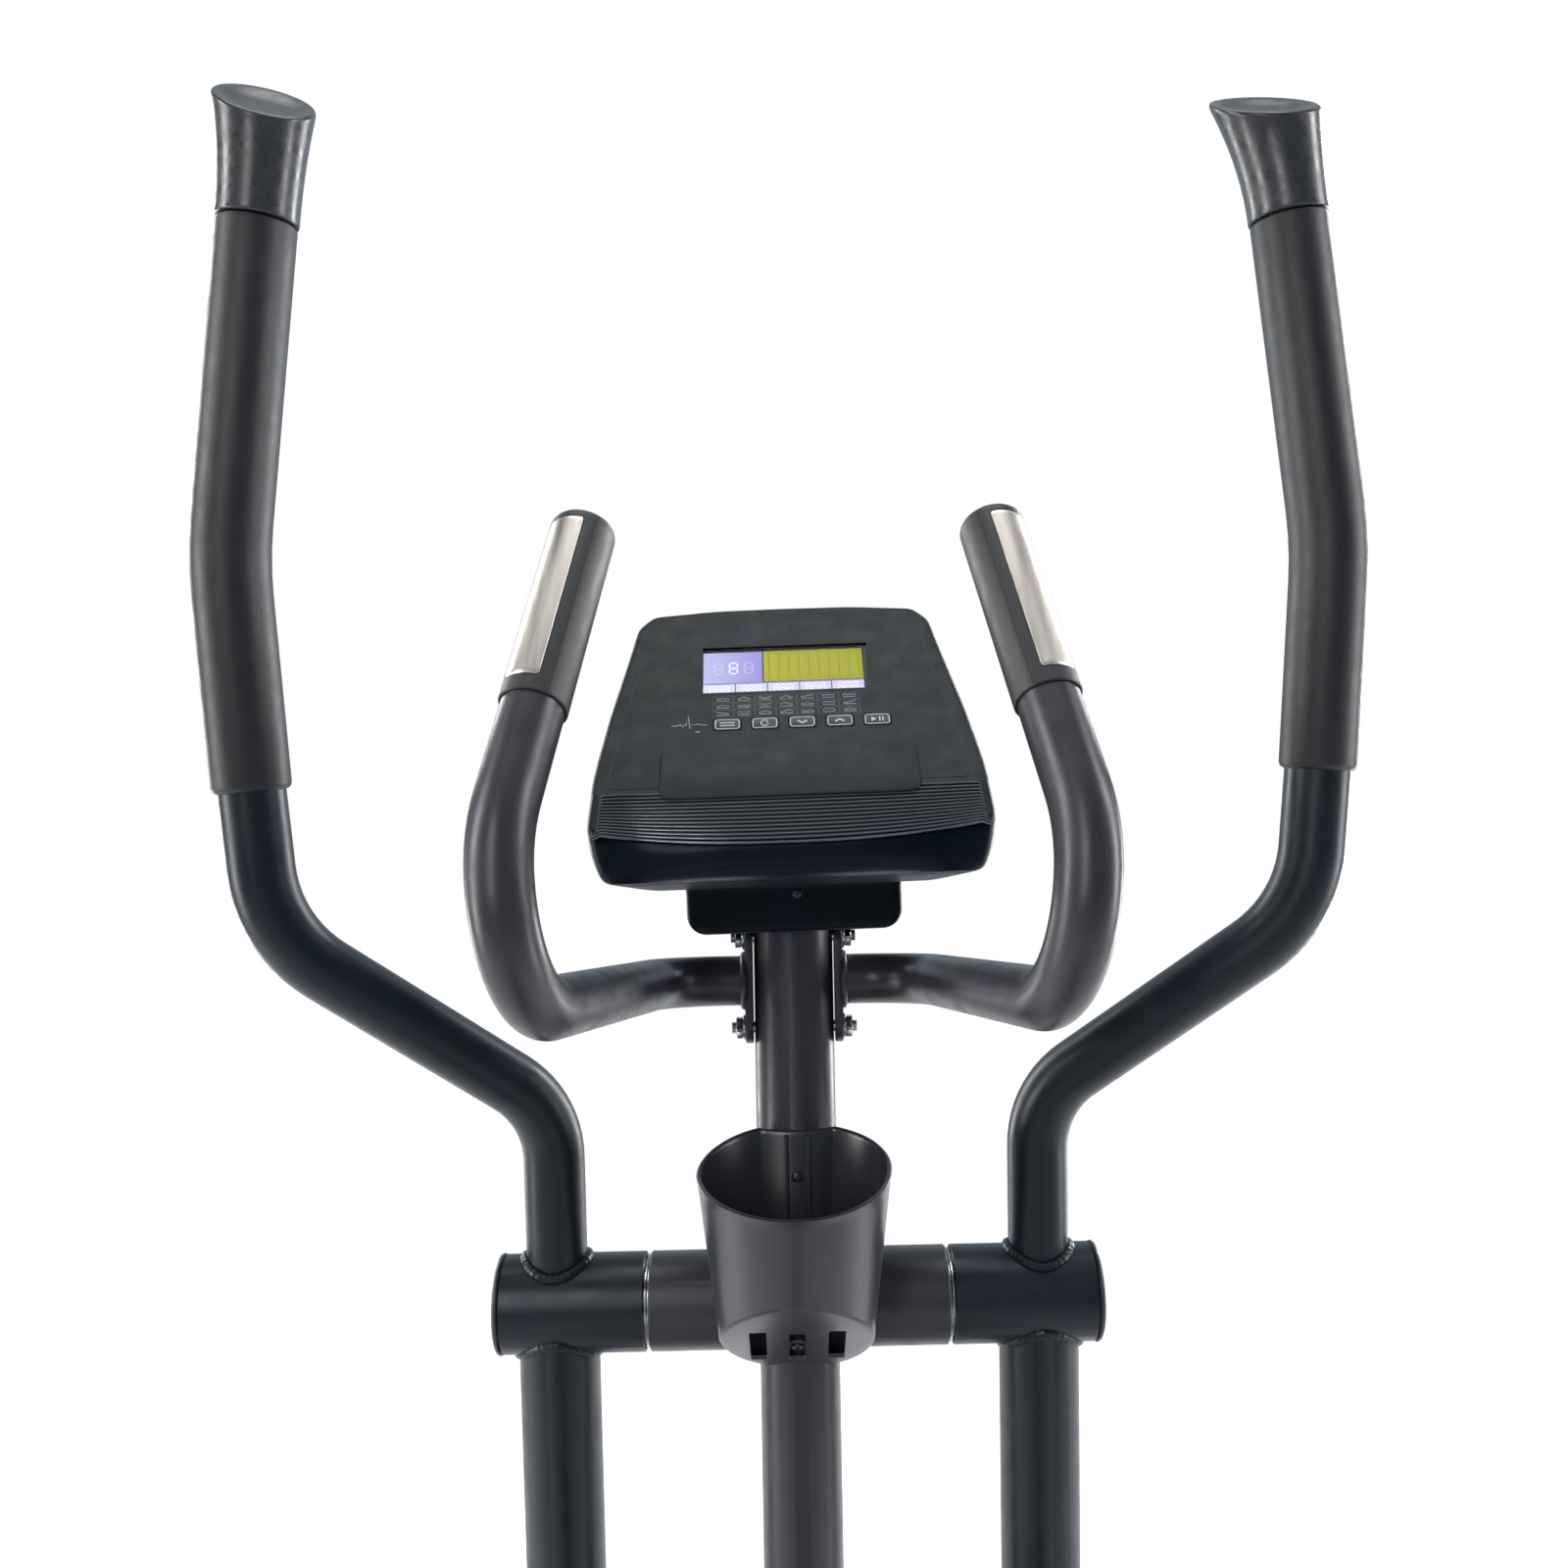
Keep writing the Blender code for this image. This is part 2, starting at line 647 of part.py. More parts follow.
def build_pulse_bar(side_name, side, upper):
    mat = paint()
    path, marks = filleted(mirrored(PULSE_CORNERS, side), math.radians(20))
    places = frames(path, (0, 0, 1))
    bar = make(f"{side_name}_pulse_bar", pipe_rings(places, PULSE_R, 14), mat, upper)
    join(bar, build_pulse_plate(side_name, side, upper, mat))
    for i, height in enumerate(PULSE_BOLT_HEIGHTS):
        y, z = height * math.sin(MAST_LEAN), height * math.cos(MAST_LEAN)
        bore = (side * 0.02, side * 0.05, 0.0046)
        cut(bar, rod_x(f"{side_name}_plate_bore_{i}", *bore, mat, y, z, upper, count=12))
    build_pulse_grip(side_name, side, places[marks[-2] :], upper)


def build_pulse_plate(side_name, side, upper, mat):
    """The flat flange that is bolted to the side of the mast."""
    middle = sum(PULSE_BOLT_HEIGHTS) / 2
    outline = []
    for height, turn in ((middle + PLATE_HALF, 0), (middle - PLATE_HALF, math.pi)):
        for k in range(7):
            angle = turn + math.pi * k / 6
            across = PLATE_END_R * math.cos(angle)
            along = height + PLATE_END_R * math.sin(angle)
            y = across * math.cos(MAST_LEAN) + along * math.sin(MAST_LEAN)
            z = -across * math.sin(MAST_LEAN) + along * math.cos(MAST_LEAN)
            outline.append((y, z))
    inner, outer = (side * x for x in PULSE_PLATE)
    return prism_x(f"{side_name}_pulse_plate", outline, inner, outer, mat, upper)


def build_pulse_grip(side_name, side, places, upper):
    """A moulded sleeve with a closed round top, and the contact plate let into its outer side."""
    (start, _, _), (end, across, up) = places[0], places[-1]
    along = (end - start).normalized()
    spots = (
        (end + along * GAP, PULSE_R + 2 * GAP),
        (start, PULSE_R + 2 * GAP),
        (start, PULSE_GRIP_R - 0.0003),
        (start + along * 0.001, PULSE_GRIP_R),
        (end, PULSE_GRIP_R),
        (end + along * 0.005, PULSE_GRIP_R - 0.002),
        (end + along * 0.008, PULSE_GRIP_R - 0.008),
    )
    rings = [circle(point, across, up, radius, 18) for point, radius in spots]
    grip = make(f"{side_name}_pulse_grip", rings, foam(), upper)
    facing = Vector((side * 0.383, -0.924, 0))
    build_sensor(f"{side_name}_pulse_sensor", start, along, facing, upper, grip)


def build_sensor(name, start, along, facing, upper, grip):
    """A curved contact plate, and the pocket that it sits in."""
    facing = (facing - along * facing.dot(along)).normalized()
    across = along.cross(facing)

    def arc_rings(low, high, half_angle, margin):
        rings = []
        for distance in (0.009 - margin, 0.1105 + margin):
            ring = []
            for radius, angles in ((high, (-1, -0.5, 0, 0.5, 1)), (low, (1, 0.5, 0, -0.5, -1))):
                for part in angles:
                    angle = part * half_angle
                    spoke = facing * math.cos(angle) + across * math.sin(angle)
                    ring.append(start + along * distance + spoke * radius)
            rings.append(ring)
        return rings

    floor, skin = PULSE_GRIP_R - GAP, PULSE_GRIP_R + 2 * GAP
    pocket = make(f"{name}_pocket", arc_rings(floor, skin + 0.002, 0.615, 0.0004), foam(), upper)
    cut(grip, pocket)
    make(name, arc_rings(floor + GAP, skin, 0.575, 0.0), steel(), upper)


def build_pulse_bolts(mast_line):
    """Two through bolts hold both flange plates to the mast."""
    reach = PULSE_PLATE[1] + GAP
    head = ((-reach - 0.006, 0.004), (-reach - 0.0045, 0.007), (-reach, 0.008), (-reach, 0.004))
    for name, height in zip(("lower", "upper"), PULSE_BOLT_HEIGHTS):
        turned(f"{name}_pulse_bolt", both_ends(head), steel(), 0, height, mast_line, count=12)


# Console


def face_point(x, up_face, out=0.0):
    """A point of the console's face: up_face metres above its foot, and out metres in front."""
    foot, head = Vector((0, *FACE_FOOT)), Vector((0, *FACE_HEAD))
    slope = (head - foot).normalized()
    normal = Vector((0, -slope.z, slope.y))
    return Vector((x, 0, 0)) + foot + slope * up_face + normal * out


def face_box(name, x, up_face, size, low, high, mat, parent):
    half_x, half_y = size[0] / 2, size[1] / 2
    corners = ((-half_x, -half_y), (half_x, -half_y), (half_x, half_y), (-half_x, half_y))
    rings = [[face_point(x + dx, up_face + dy, out) for dx, dy in corners] for out in (low, high)]
    return make(name, rings, mat, parent)


def console_block(name, inset, mat, upper):
    """The console's outer shape, or the same shape a wall thinner all round."""
    side_view = (
        (-0.150, 0.3137), (-0.152, 0.2995), (-0.141, 0.2895), (-0.080, 0.2765), (0.058, 0.270),
        (0.070, 0.280), (0.072, 0.304), (0.034, 0.428), (0.022, 0.4395), FACE_HEAD, FACE_FOOT,
    )
    front_half = (
        (0.072, 0.268), (0.088, 0.280), (0.101, 0.293), (0.1065, 0.306), (0.1095, 0.320),
        (0.1108, 0.335), (0.1022, 0.376), (0.0930, 0.410), (0.0880, 0.427), (0.078, 0.4355),
        (0.040, 0.4385),
    )
    plan_half = ((0.113, -0.136), (0.080, -0.1445), (0.040, -0.1505))
    front_view = [(x, z) for x, z in front_half] + [(-x, z) for x, z in reversed(front_half)]
    plan = [(x, y) for x, y in plan_half] + [(-x, y) for x, y in reversed(plan_half)]
    plan += [(-0.113, 0.080), (0.113, 0.080)]

    def shrunk(points):
        middle = Vector((sum(p[0] for p in points), sum(p[1] for p in points))) / len(points)
        result = []
        for point in points:
            away = Vector(point) - middle
            result.append(middle + away * (1 - inset / away.length * 1.15))
        return result

    side_view, front_view, plan = (shrunk(points) for points in (side_view, front_view, plan))
    block = prism_x(name, side_view, -0.13, 0.13, mat, upper)
    front_rings = [[(x, y, z) for x, z in front_view] for y in (-0.25, 0.15)]
    plan_rings = [[(x, y, z) for x, y in plan] for z in (0.2, 0.5)]
    combine(block, make(f"{name}_front_view", front_rings, mat, upper), "INTERSECT")
    combine(block, make(f"{name}_plan_view", plan_rings, mat, upper), "INTERSECT")
    return block


def half_space(name, front, mat, upper):
    """A large block on one side of the parting plane between the console's two shells."""
    gap = GAP / 2
    low, high = (-PARTING_DEPTH + gap, 0.12) if front else (-0.30, -PARTING_DEPTH - gap)
    return face_box(name, 0, 0.05, (0.4, 0.6), low, high, mat, upper)


def build_console(upper, mast_line):
    mat = face_plastic()
    front = console_block("console_front_shell", 0, mat, upper)
    join(front, build_ledge(mat, upper))
    combine(front, half_space("front_side", True, mat, upper), "INTERSECT")
    cut(front, console_block("front_hollow", CONSOLE_WALL, mat, upper))
    windows = [("lens", 0, LENS_CENTRE, LENS_SIZE)]
    windows += [(name, x, KEY_ROW, KEY_SIZE) for name, x in key_places()]
    for name, x, up_face, size in windows:
        opening = [length + WINDOW_PLAY for length in size]
        cut(front, face_box(f"{name}_window", x, up_face, opening, -0.01, 0.01, mat, upper))
    build_back_shell(upper, mast_line)
    face_box("console_lens", 0, LENS_CENTRE, LENS_SIZE, -0.0028, -0.0004, glass(), upper)
    face_box("console_board", 0, 0.072, (0.150, 0.100), -0.0075, -0.0058, circuit(), upper)
    for name, x in key_places():
        place = empty(f"{name}_key_place", (0, PIVOT_Y, PIVOT_Z))
        face_box(f"{name}_key", x, KEY_ROW, KEY_SIZE, -0.0045, 0.0006, rubber(), place)


def key_places():
    return [(name, KEY_FIRST_X + KEY_PITCH * i) for i, name in enumerate(KEY_NAMES)]


def build_ledge(mat, upper):
    """A raised shelf that grows out of the lower face and overhangs the tray."""
    top = face_point(0, 0.042, -0.001)
    rings = []
    for x, back in ((-0.0725, 0.007), (-0.066, 0.0), (0.066, 0.0), (0.0725, 0.007)):
        edge = face_point(0, -0.0095 + back, 0.0045)
        under = face_point(0, -0.0075 + back, 0.0005)
        root = face_point(0, 0.010, -0.001)
        rings.append([(x, point.y, point.z) for point in (top, edge, under, root)])
    return make("console_ledge", rings, mat, upper)


def build_back_shell(upper, mast_line):
    mat = plastic()
    back = console_block("console_back_shell", 0, mat, upper)
    combine(back, half_space("rear_side", False, mat, upper), "INTERSECT")
    join(back, neck_block("console_neck", 0, mat, upper))
    cut(back, console_block("rear_hollow", CONSOLE_WALL, mat, upper))
    cut(back, neck_block("neck_hollow", CONSOLE_WALL, mat, upper))
    cut(
        back,
        rod("mast_mouth", (0, 0, 0.20), (0, 0, 0.29), MAST_R + 0.0008, mat, mast_line),
        box("plate_mouth", (-0.040, -0.018, 0.20), (0.040, 0.018, 0.258), mat, mast_line),
    )


def neck_block(name, inset, mat, upper):
    half, low = NECK_HALF_WIDTH - inset, NECK_BOTTOM + inset
    corner = 0.010
    outline = [(half, NECK_TOP), (half, low + corner)]
    outline += [(half - 0.003, low + 0.003), (half - corner, low)]
    outline += [(-x, z) for x, z in reversed(outline)]
    rings = [[(x, y, z) for x, z in outline] for y in (NECK_FRONT + inset, NECK_REAR - inset)]
    return make(name, rings, mat, upper)


def build_console_cable():
    """The flat lead from the console's board down inside the mast to the drive."""
    lean = Vector((0, math.sin(MAST_LEAN), math.cos(MAST_LEAN)))
    pivot = Vector((0, PIVOT_Y, PIVOT_Z))
    offset = Vector((0.010, 0.0165, 0))
    board = pivot + face_point(0.010, 0.060, -0.012)
    path = [board, board + Vector((0, 0.012, -0.025))]
    path += [pivot + lean * height + offset for height in (0.285, 0.20, 0.0, -0.4, -0.790)]
    places = frames(path, (1, 0, 0))
    make("console_cable", pipe_rings(places, 0.0028, 8), rubber())


# Drive


def build_crank():
    place = empty("crank_axis", (0, CRANK_Y, CRANK_Z))
    face, shoulder = -DISC_OUT - GAP, -DISC_IN + 0.0005
    half = (
        (-0.0805, 0.012),
        (-0.079, 0.014),
        (face, 0.014),
        (face, 0.008),
        (shoulder, 0.008),
        (shoulder, AXLE_R),
    )
    turned("crank_axle", both_ends(half), steel(), parent=place, count=16)
    bore = AXLE_R + GAP
    outer, inner = BELT_OUT - 0.0015, BELT_IN + 0.0015
    rim = PULLEY_R - 0.010
    profile = ((outer, bore), (outer, 0.022), (-0.033, 0.104), (outer, rim), (outer, PULLEY_R))
    profile += ((inner, PULLEY_R), (inner, rim), (-0.029, 0.104), (inner, 0.022), (inner, bore))
    turned("drive_pulley", profile, plastic(), parent=place, loop=True)
    for side_name, side in SIDES.items():
        stations = (
            (DISC_IN, 0.0085),
            (DISC_IN, DISC_R),
            (DISC_OUT - 0.002, DISC_R),
            (DISC_OUT, DISC_R - 0.002),
            (DISC_OUT, 0.0085),
        )
        profile = [(side * x, radius) for x, radius in stations]
        turned(f"{side_name}_crank_disc", profile, plastic(), parent=place, count=40, loop=True)


def build_flywheel():
    place = empty("flywheel_axis", (0, FLYWHEEL_Y, FLYWHEEL_Z))
    bore, flange = FLY_AXLE_R + 0.0006, FLY_PULLEY_R + 0.005
    outer, inner = BELT_OUT - 0.0015, BELT_IN + 0.0015
    profile = (
        (outer - 0.002, bore), (outer - 0.002, flange), (outer, FLY_PULLEY_R), (inner, FLY_PULLEY_R),
        (inner, flange), (0.011, flange), (0.013, 0.092), (0.001, 0.094), (0.001, FLYWHEEL_R),
        (0.035, FLYWHEEL_R), (0.035, 0.094), (0.023, 0.092), (0.036, flange), (0.036, bore),
    )
    turned("flywheel", profile, iron(), parent=place, count=24, loop=True)
    reach = HOUSING_HALF - HOUSING_WALL - 0.0015
    rod_x("flywheel_axle", -reach, reach, FLY_AXLE_R, steel(), FLYWHEEL_Y, FLYWHEEL_Z, count=12)


def belt_outline(extra):
    """Two arcs round the pulleys, joined by the straight runs of the belt."""
    big, small = PULLEY_R + extra, FLY_PULLEY_R + extra
    gap_y, gap_z = FLYWHEEL_Y - CRANK_Y, FLYWHEEL_Z - CRANK_Z
    heading = math.atan2(gap_z, gap_y)
    wrap = math.acos((big - small) / math.hypot(gap_y, gap_z))
    outline = []
    for y, z, radius, start, end, steps in (
        (CRANK_Y, CRANK_Z, big, heading + wrap, heading + 2 * math.pi - wrap, 24),
        (FLYWHEEL_Y, FLYWHEEL_Z, small, heading - wrap, heading + wrap, 10),
    ):
        for i in range(steps + 1):
            angle = start + (end - start) * i / steps
            outline.append((y + radius * math.cos(angle), z + radius * math.sin(angle)))
    return outline


def build_belt():
    inner, outer = belt_outline(0.0009), belt_outline(0.0009 + BELT_THICK)
    stations = ((inner, BELT_IN), (outer, BELT_IN), (outer, BELT_OUT), (inner, BELT_OUT))
    rings = [[(x, y, z) for y, z in outline] for outline, x in stations]
    make("drive_belt", rings, rubber(), loop=True)


def build_magnet_bracket():
    """A hinged shoe that carries the brake magnets over the flywheel's rim."""
    place = empty("magnet_bracket_axis", (0, BRACKET_Y, BRACKET_Z))
    centre = Vector((FLYWHEEL_Y - BRACKET_Y, FLYWHEEL_Z - BRACKET_Z))
    outline = []
    for radius, start, end in ((FLYWHEEL_R + 0.003, 48, 118), (FLYWHEEL_R + 0.010, 118, 48)):
        for i in range(9):
            angle = math.radians(start + (end - start) * i / 8)
            spoke = Vector((math.cos(angle), math.sin(angle))) * radius
            outline.append(tuple(centre + spoke))
    outline += [(0.004, 0.013), (0.012, 0.006), (0.012, -0.006), (0.003, -0.011), (-0.008, -0.003)]
    bracket = prism_x("magnet_bracket", outline, 0.002, 0.036, paint(), place)
    cut(bracket, rod_x("bracket_bore", -0.01, 0.05, 0.0056, paint(), parent=place, count=16))


def build_motor():
    floor = BEAM_BOTTOM + BEAM_HEIGHT + GAP
    box("tension_motor", (-0.018, -0.400, floor), (0.018, -0.335, 0.168), plastic())


def scaled_outline(outline, inset):
    middle = Vector((sum(p[0] for p in outline), sum(p[1] for p in outline))) / len(outline)
    result = []
    for point in outline:
        away = Vector(point[:2]) - middle
        result.append(middle + away * (1 - inset * 1.1 / away.length))
    return result


def build_housing():
    corners = [((y, z, 0), radius) for (y, z), radius in HOUSING_CORNERS]
    path, _ = filleted(corners, math.radians(16))
    outer = [(point.x, point.y) for point in path]
    inner = scaled_outline(outer, HOUSING_WALL)
    edge = scaled_outline(outer, 0.010)
    stations = (
        (inner, HOUSING_HALF - HOUSING_WALL),
        (inner, GAP / 2),
        (outer, GAP / 2),
        (outer, HOUSING_HALF - 0.012),
        (scaled_outline(outer, 0.0025), HOUSING_HALF - 0.004),
        (edge, HOUSING_HALF),
    )
    for side_name, side in SIDES.items():
        rings = [[(side * x, y, z) for y, z in outline] for outline, x in stations]
        housing = make(f"{side_name}_housing", rings, plastic())
        low, high = sorted((side * -0.01, side * 0.0545))
        bore = (side * 0.03, side * 0.08, 0.020)
        cut(
            housing,
            box(f"{side_name}_housing_slot", (low, -0.545, 0.10), (high, -0.215, 0.135), plastic()),
            rod_x(f"{side_name}_housing_bore", *bore, plastic(), CRANK_Y, CRANK_Z),
        )


# Pedal arms and pedals


def build_pedal_arm(side_name, side):
    angle, length = link_places()
    swing = side * REST_SWING
    pivot_y = PIVOT_Y - ARM_LENGTH * math.sin(swing)
    pivot_z = PIVOT_Z - ARM_LENGTH * math.cos(swing)
    pin_y = CRANK_Y - side * CRANK_R * math.sin(angle)
    pin_z = CRANK_Z - side * CRANK_R * math.cos(angle)
    slope = math.atan2(pin_z - pivot_z, pivot_y - pin_y)
    place = empty(f"{side_name}_pedal_pivot", (side * ARM_X, pivot_y, pivot_z), -slope)
    mat = paint()
    ends = ((0, -0.062, 0), (0, -length, 0))
    arm = rod(f"{side_name}_pedal_arm", *ends, PEDAL_ARM_R, mat, place, count=16)
    nose = [(-0.110, -0.016), (-0.020, -0.021), (0.0, -0.023), (0.014, -0.018), (0.022, 0.0)]
    outline = nose + [(y, -z) for y, z in reversed(nose[:-1])]
    for where, sign in (("inner", -1), ("outer", 1)):
        cheek = (sign * CLEVIS_IN, sign * CLEVIS_OUT)
        join(arm, prism_x(f"{side_name}_clevis_{where}", outline, *cheek, mat, place))
    half = CLEVIS_IN + 0.001
    pin = (-side * 0.010, side * (DISC_OUT + 2 * GAP - ARM_X), CRANK_PIN_R)
    join(
        arm,
        box(f"{side_name}_clevis_block", (-half, -0.105, -0.015), (half, -0.068, 0.015), mat, place),
        rod_x(f"{side_name}_rear_sleeve", -0.026, 0.026, 0.023, mat, -length, 0, place, count=20),
        rod_x(f"{side_name}_crank_pin", *pin, mat, -length, 0, place, count=16),
    )
    bore = (-0.05, 0.05, BOLT_R + 2 * GAP)
    cut(arm, rod_x(f"{side_name}_clevis_bore", *bore, mat, parent=place, count=16))
    reach = CLEVIS_OUT + GAP
    head = ((-reach - 0.007, 0.008), (-reach - 0.005, 0.011), (-reach, 0.011), (-reach, BOLT_R))
    turned(f"{side_name}_pedal_bolt", both_ends(head), steel(), parent=place, count=12)
    build_pedal(side_name, side, place)


def build_pedal(side_name, side, place):
    """A foot plate with a raised rim, on top of its arm."""
    floor = PEDAL_ARM_R + GAP
    low, high = sorted((side * PEDAL_INNER, side * PEDAL_OUTER))

    def outline(inset):
        corners = (
            ((low + inset, PEDAL_REAR + inset, 0), 0.020),
            ((high - inset, PEDAL_REAR + inset, 0), 0.020),
            ((high - inset, PEDAL_FRONT - inset, 0), 0.035),
            ((low + inset, PEDAL_FRONT - inset, 0), 0.035),
        )
        path, _ = filleted(corners, math.radians(30))
        return [(point.x, point.y) for point in path]

    def rim(y):
        return floor + 0.022 + 0.020 * max(0.0, (y - PEDAL_REAR) / (PEDAL_FRONT - PEDAL_REAR)) ** 2

    rings = [
        flat_ring(outline(0.006), lambda y: floor),
        flat_ring(outline(0.0), lambda y: floor + 0.006),
        flat_ring(outline(0.0), rim),
        flat_ring(outline(0.006), rim),
        flat_ring(outline(0.010), lambda y: floor + 0.008),
    ]
    make(f"{side_name}_pedal", rings, plastic(), place)


def main():
    clear_scene()
    upper = empty("upper_frame", (0, PIVOT_Y, PIVOT_Z))
    mast_line = empty("mast_line", (0, PIVOT_Y, PIVOT_Z), -MAST_LEAN)
    build_main_frame()
    build_stabilizer("front", FRONT_STABILIZER_Y, 0.052)
    build_stabilizer("rear", REAR_STABILIZER_Y, 0.034)
    build_mast(mast_line)
    build_cup(mast_line)
    build_pivot(mast_line)
    build_pulse_bolts(mast_line)
    build_console(upper, mast_line)
    build_console_cable()
    build_crank()
    build_flywheel()
    build_belt()
    build_magnet_bracket()
    build_motor()
    build_housing()
    for side_name, side in SIDES.items():
        # The left handle's top is nearer the user at rest, and the right one's further away.
        place = empty(f"{side_name}_handle_pivot", (0, PIVOT_Y, PIVOT_Z), -side * REST_SWING)
        build_swing_arm(side_name, side, place)
        build_pulse_bar(side_name, side, upper)
        build_pedal_arm(side_name, side)


main()
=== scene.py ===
"""Looks of the elliptical trainer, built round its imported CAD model.

Metres, in the row frame: +Z up, and the user stands on the -Y side.
"""

import json
import math

import bmesh
import bpy
import numpy as np
from mathutils import Matrix, Vector

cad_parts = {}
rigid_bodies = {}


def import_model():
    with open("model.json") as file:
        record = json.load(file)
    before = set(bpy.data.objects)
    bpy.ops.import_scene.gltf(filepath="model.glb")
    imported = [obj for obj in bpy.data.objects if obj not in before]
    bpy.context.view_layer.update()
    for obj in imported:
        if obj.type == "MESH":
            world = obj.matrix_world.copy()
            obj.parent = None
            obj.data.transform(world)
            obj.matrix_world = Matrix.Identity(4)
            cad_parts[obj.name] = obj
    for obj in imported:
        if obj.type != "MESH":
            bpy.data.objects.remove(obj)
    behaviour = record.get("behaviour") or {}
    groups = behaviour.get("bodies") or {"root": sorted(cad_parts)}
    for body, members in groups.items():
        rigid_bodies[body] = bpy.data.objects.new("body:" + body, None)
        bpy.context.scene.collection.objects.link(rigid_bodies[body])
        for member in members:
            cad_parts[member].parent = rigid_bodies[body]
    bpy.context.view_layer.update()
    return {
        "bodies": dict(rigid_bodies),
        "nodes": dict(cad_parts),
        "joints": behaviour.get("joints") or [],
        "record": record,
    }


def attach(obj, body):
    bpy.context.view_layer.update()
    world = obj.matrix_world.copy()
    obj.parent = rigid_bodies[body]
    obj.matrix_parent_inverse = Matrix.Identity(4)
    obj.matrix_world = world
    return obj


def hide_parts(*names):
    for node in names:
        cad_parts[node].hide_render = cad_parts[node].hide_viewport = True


SIDES = {"left": -1, "right": 1}
LEAN, SWING = math.radians(6.0), math.radians(0.8)
ON_FLOOR = 0.0005
PIVOT = Vector((0.0, 0.545, 0.920))
UPPER = Matrix.Translation(PIVOT)
MAST_LINE = UPPER @ Matrix.Rotation(-LEAN, 4, "X")
HERE = Matrix.Identity(4)

# Radii of the tubes
MAST_R, MAST_BORE_R, CROSS_R = 0.0254, 0.0230, 0.0305
LOWER_ARM_R, HANDLE_R, GRIP_R = 0.0254, 0.01905, 0.0224
PULSE_R, PULSE_GRIP_R = 0.015875, 0.01725
PEDAL_ARM_R, STABILIZER_R = 0.019, 0.025
ARM_X, ARM_LENGTH = 0.1533, 0.700

HANDLE_CORNERS = (
    ((ARM_X, 0.000, 0.000), 0),
    ((ARM_X, 0.000, 0.127), 0.065),
    ((0.3048, -0.060, 0.2510), 0.085),
    ((0.3117, -0.0577, 0.3346), 0),
    ((0.3200, -0.054, 0.4680), 0.250),
    ((0.2986, -0.0455, 0.6574), 0),
)
GRIP_START = 3
PULSE_CORNERS = (
    ((0.0305, 0.0210, 0.2010), 0),
    ((0.0824, 0.0210, 0.2010), 0.045),
    ((0.1287, -0.2575, 0.2426), 0.055),
    ((0.1366, -0.2454, 0.3216), 0.085),
    ((0.12515, -0.20163, 0.38064), 0),
    ((0.10785, -0.13583, 0.46944), 0),
)
PULSE_BOLT_HEIGHTS = {"lower": 0.172, "upper": 0.230}
PULSE_BOLT_HEAD = ((0.0014, 0.92), (0.0017, 1.0), (0.0052, 1.0), (0.0057, 0.93), (0.0057, 0.45))
PEDAL_BOLT_HEAD = ((0.0328, 0.96), (0.0331, 1.0), (0.0385, 1.0), (0.0395, 0.92), (0.0398, 0.55))

# Handle caps: reach of the top outwards and inwards, its slopes towards the user and sideways
CAP_HEIGHT, CAP_BASE_R, CAP_DEPTH = 0.071, 0.0232, 0.0272
CAP_TOPS = {"left": (0.0307, 0.0275, 0.60, 0.20), "right": (0.0257, 0.0385, 0.62, -0.09)}

# Console, from the pivot
FACE_FOOT, FACE_HEAD = Vector((0, -0.105, 0.335)), Vector((0, 0.004, 0.4405))
FACE_UP = (FACE_HEAD - FACE_FOOT).normalized()
FACE_OUT = Vector((0, -FACE_UP.z, FACE_UP.y))
FACE_LENGTH = (FACE_HEAD - FACE_FOOT).length
KEY_NAMES = ("mode", "reset", "down", "up", "start")
KEY_X = [-0.0347 + 0.0216 * i for i in range(5)]
KEY_UP, KEY_HALF = 0.0500, (0.00785, 0.0046)
# The photograph shows the display 1.6 mm below its CAD solid
LCD_UP, LCD_HALF = 0.0959, (0.050, 0.020)

CRANK = Vector((0, -0.255, 0.300))
FLYWHEEL = Vector((0, -0.510, 0.270))
WHEEL_X, WHEEL_YZ = 0.252, (0.725, 0.031)

# Materials by name, filled by finishes()
LOOK = {}


# Materials


def link(tree, source, target):
    tree.links.new(source, target)


def node(tree, kind, values=None):
    """A shader node whose inputs are set by name, each to a value or to another node's output."""
    made_node = tree.nodes.new("ShaderNode" + kind)
    feed(tree, made_node, values or {})
    return made_node


def feed(tree, target, values):
    for name, value in values.items():
        if isinstance(value, bpy.types.NodeSocket):
            link(tree, value, target.inputs[name])
        else:
            target.inputs[name].default_value = value


def new_material(name, values):
    """A material with its tree and its shader, whose inputs are set by name."""
    mat = bpy.data.materials.new(name)
    mat.use_nodes = True
    shader = mat.node_tree.nodes["Principled BSDF"]
    feed(mat.node_tree, shader, values)
    return mat, mat.node_tree, shader


def noise(tree, place, scale, detail=3.0, stretch=None):
    """A noise texture in object coordinates, stretched where a direction is given."""
    if stretch:
        place = node(tree, "Mapping", {"Scale": stretch, "Vector": place}).outputs["Vector"]
    values = {"Scale": scale, "Detail": detail, "Vector": place}
    return node(tree, "TexNoise", values).outputs["Fac"]


def spread(tree, value, low, high, start=0.3, end=0.7):
    """The value's range from start to end, carried onto low to high."""
    values = {"Value": value, "From Min": start, "From Max": end, "To Min": low, "To Max": high}
    return node(tree, "MapRange", values).outputs["Result"]


def blended(tree, factor, first, second):
    """A colour between two others. Each is a colour or a node's output."""
    mix = tree.nodes.new("ShaderNodeMix")
    mix.data_type = "RGBA"
    first, second = [(*c, 1.0) if isinstance(c, tuple) else c for c in (first, second)]
    feed(tree, mix, {"Factor": factor, "A": first, "B": second})
    return mix.outputs["Result"]


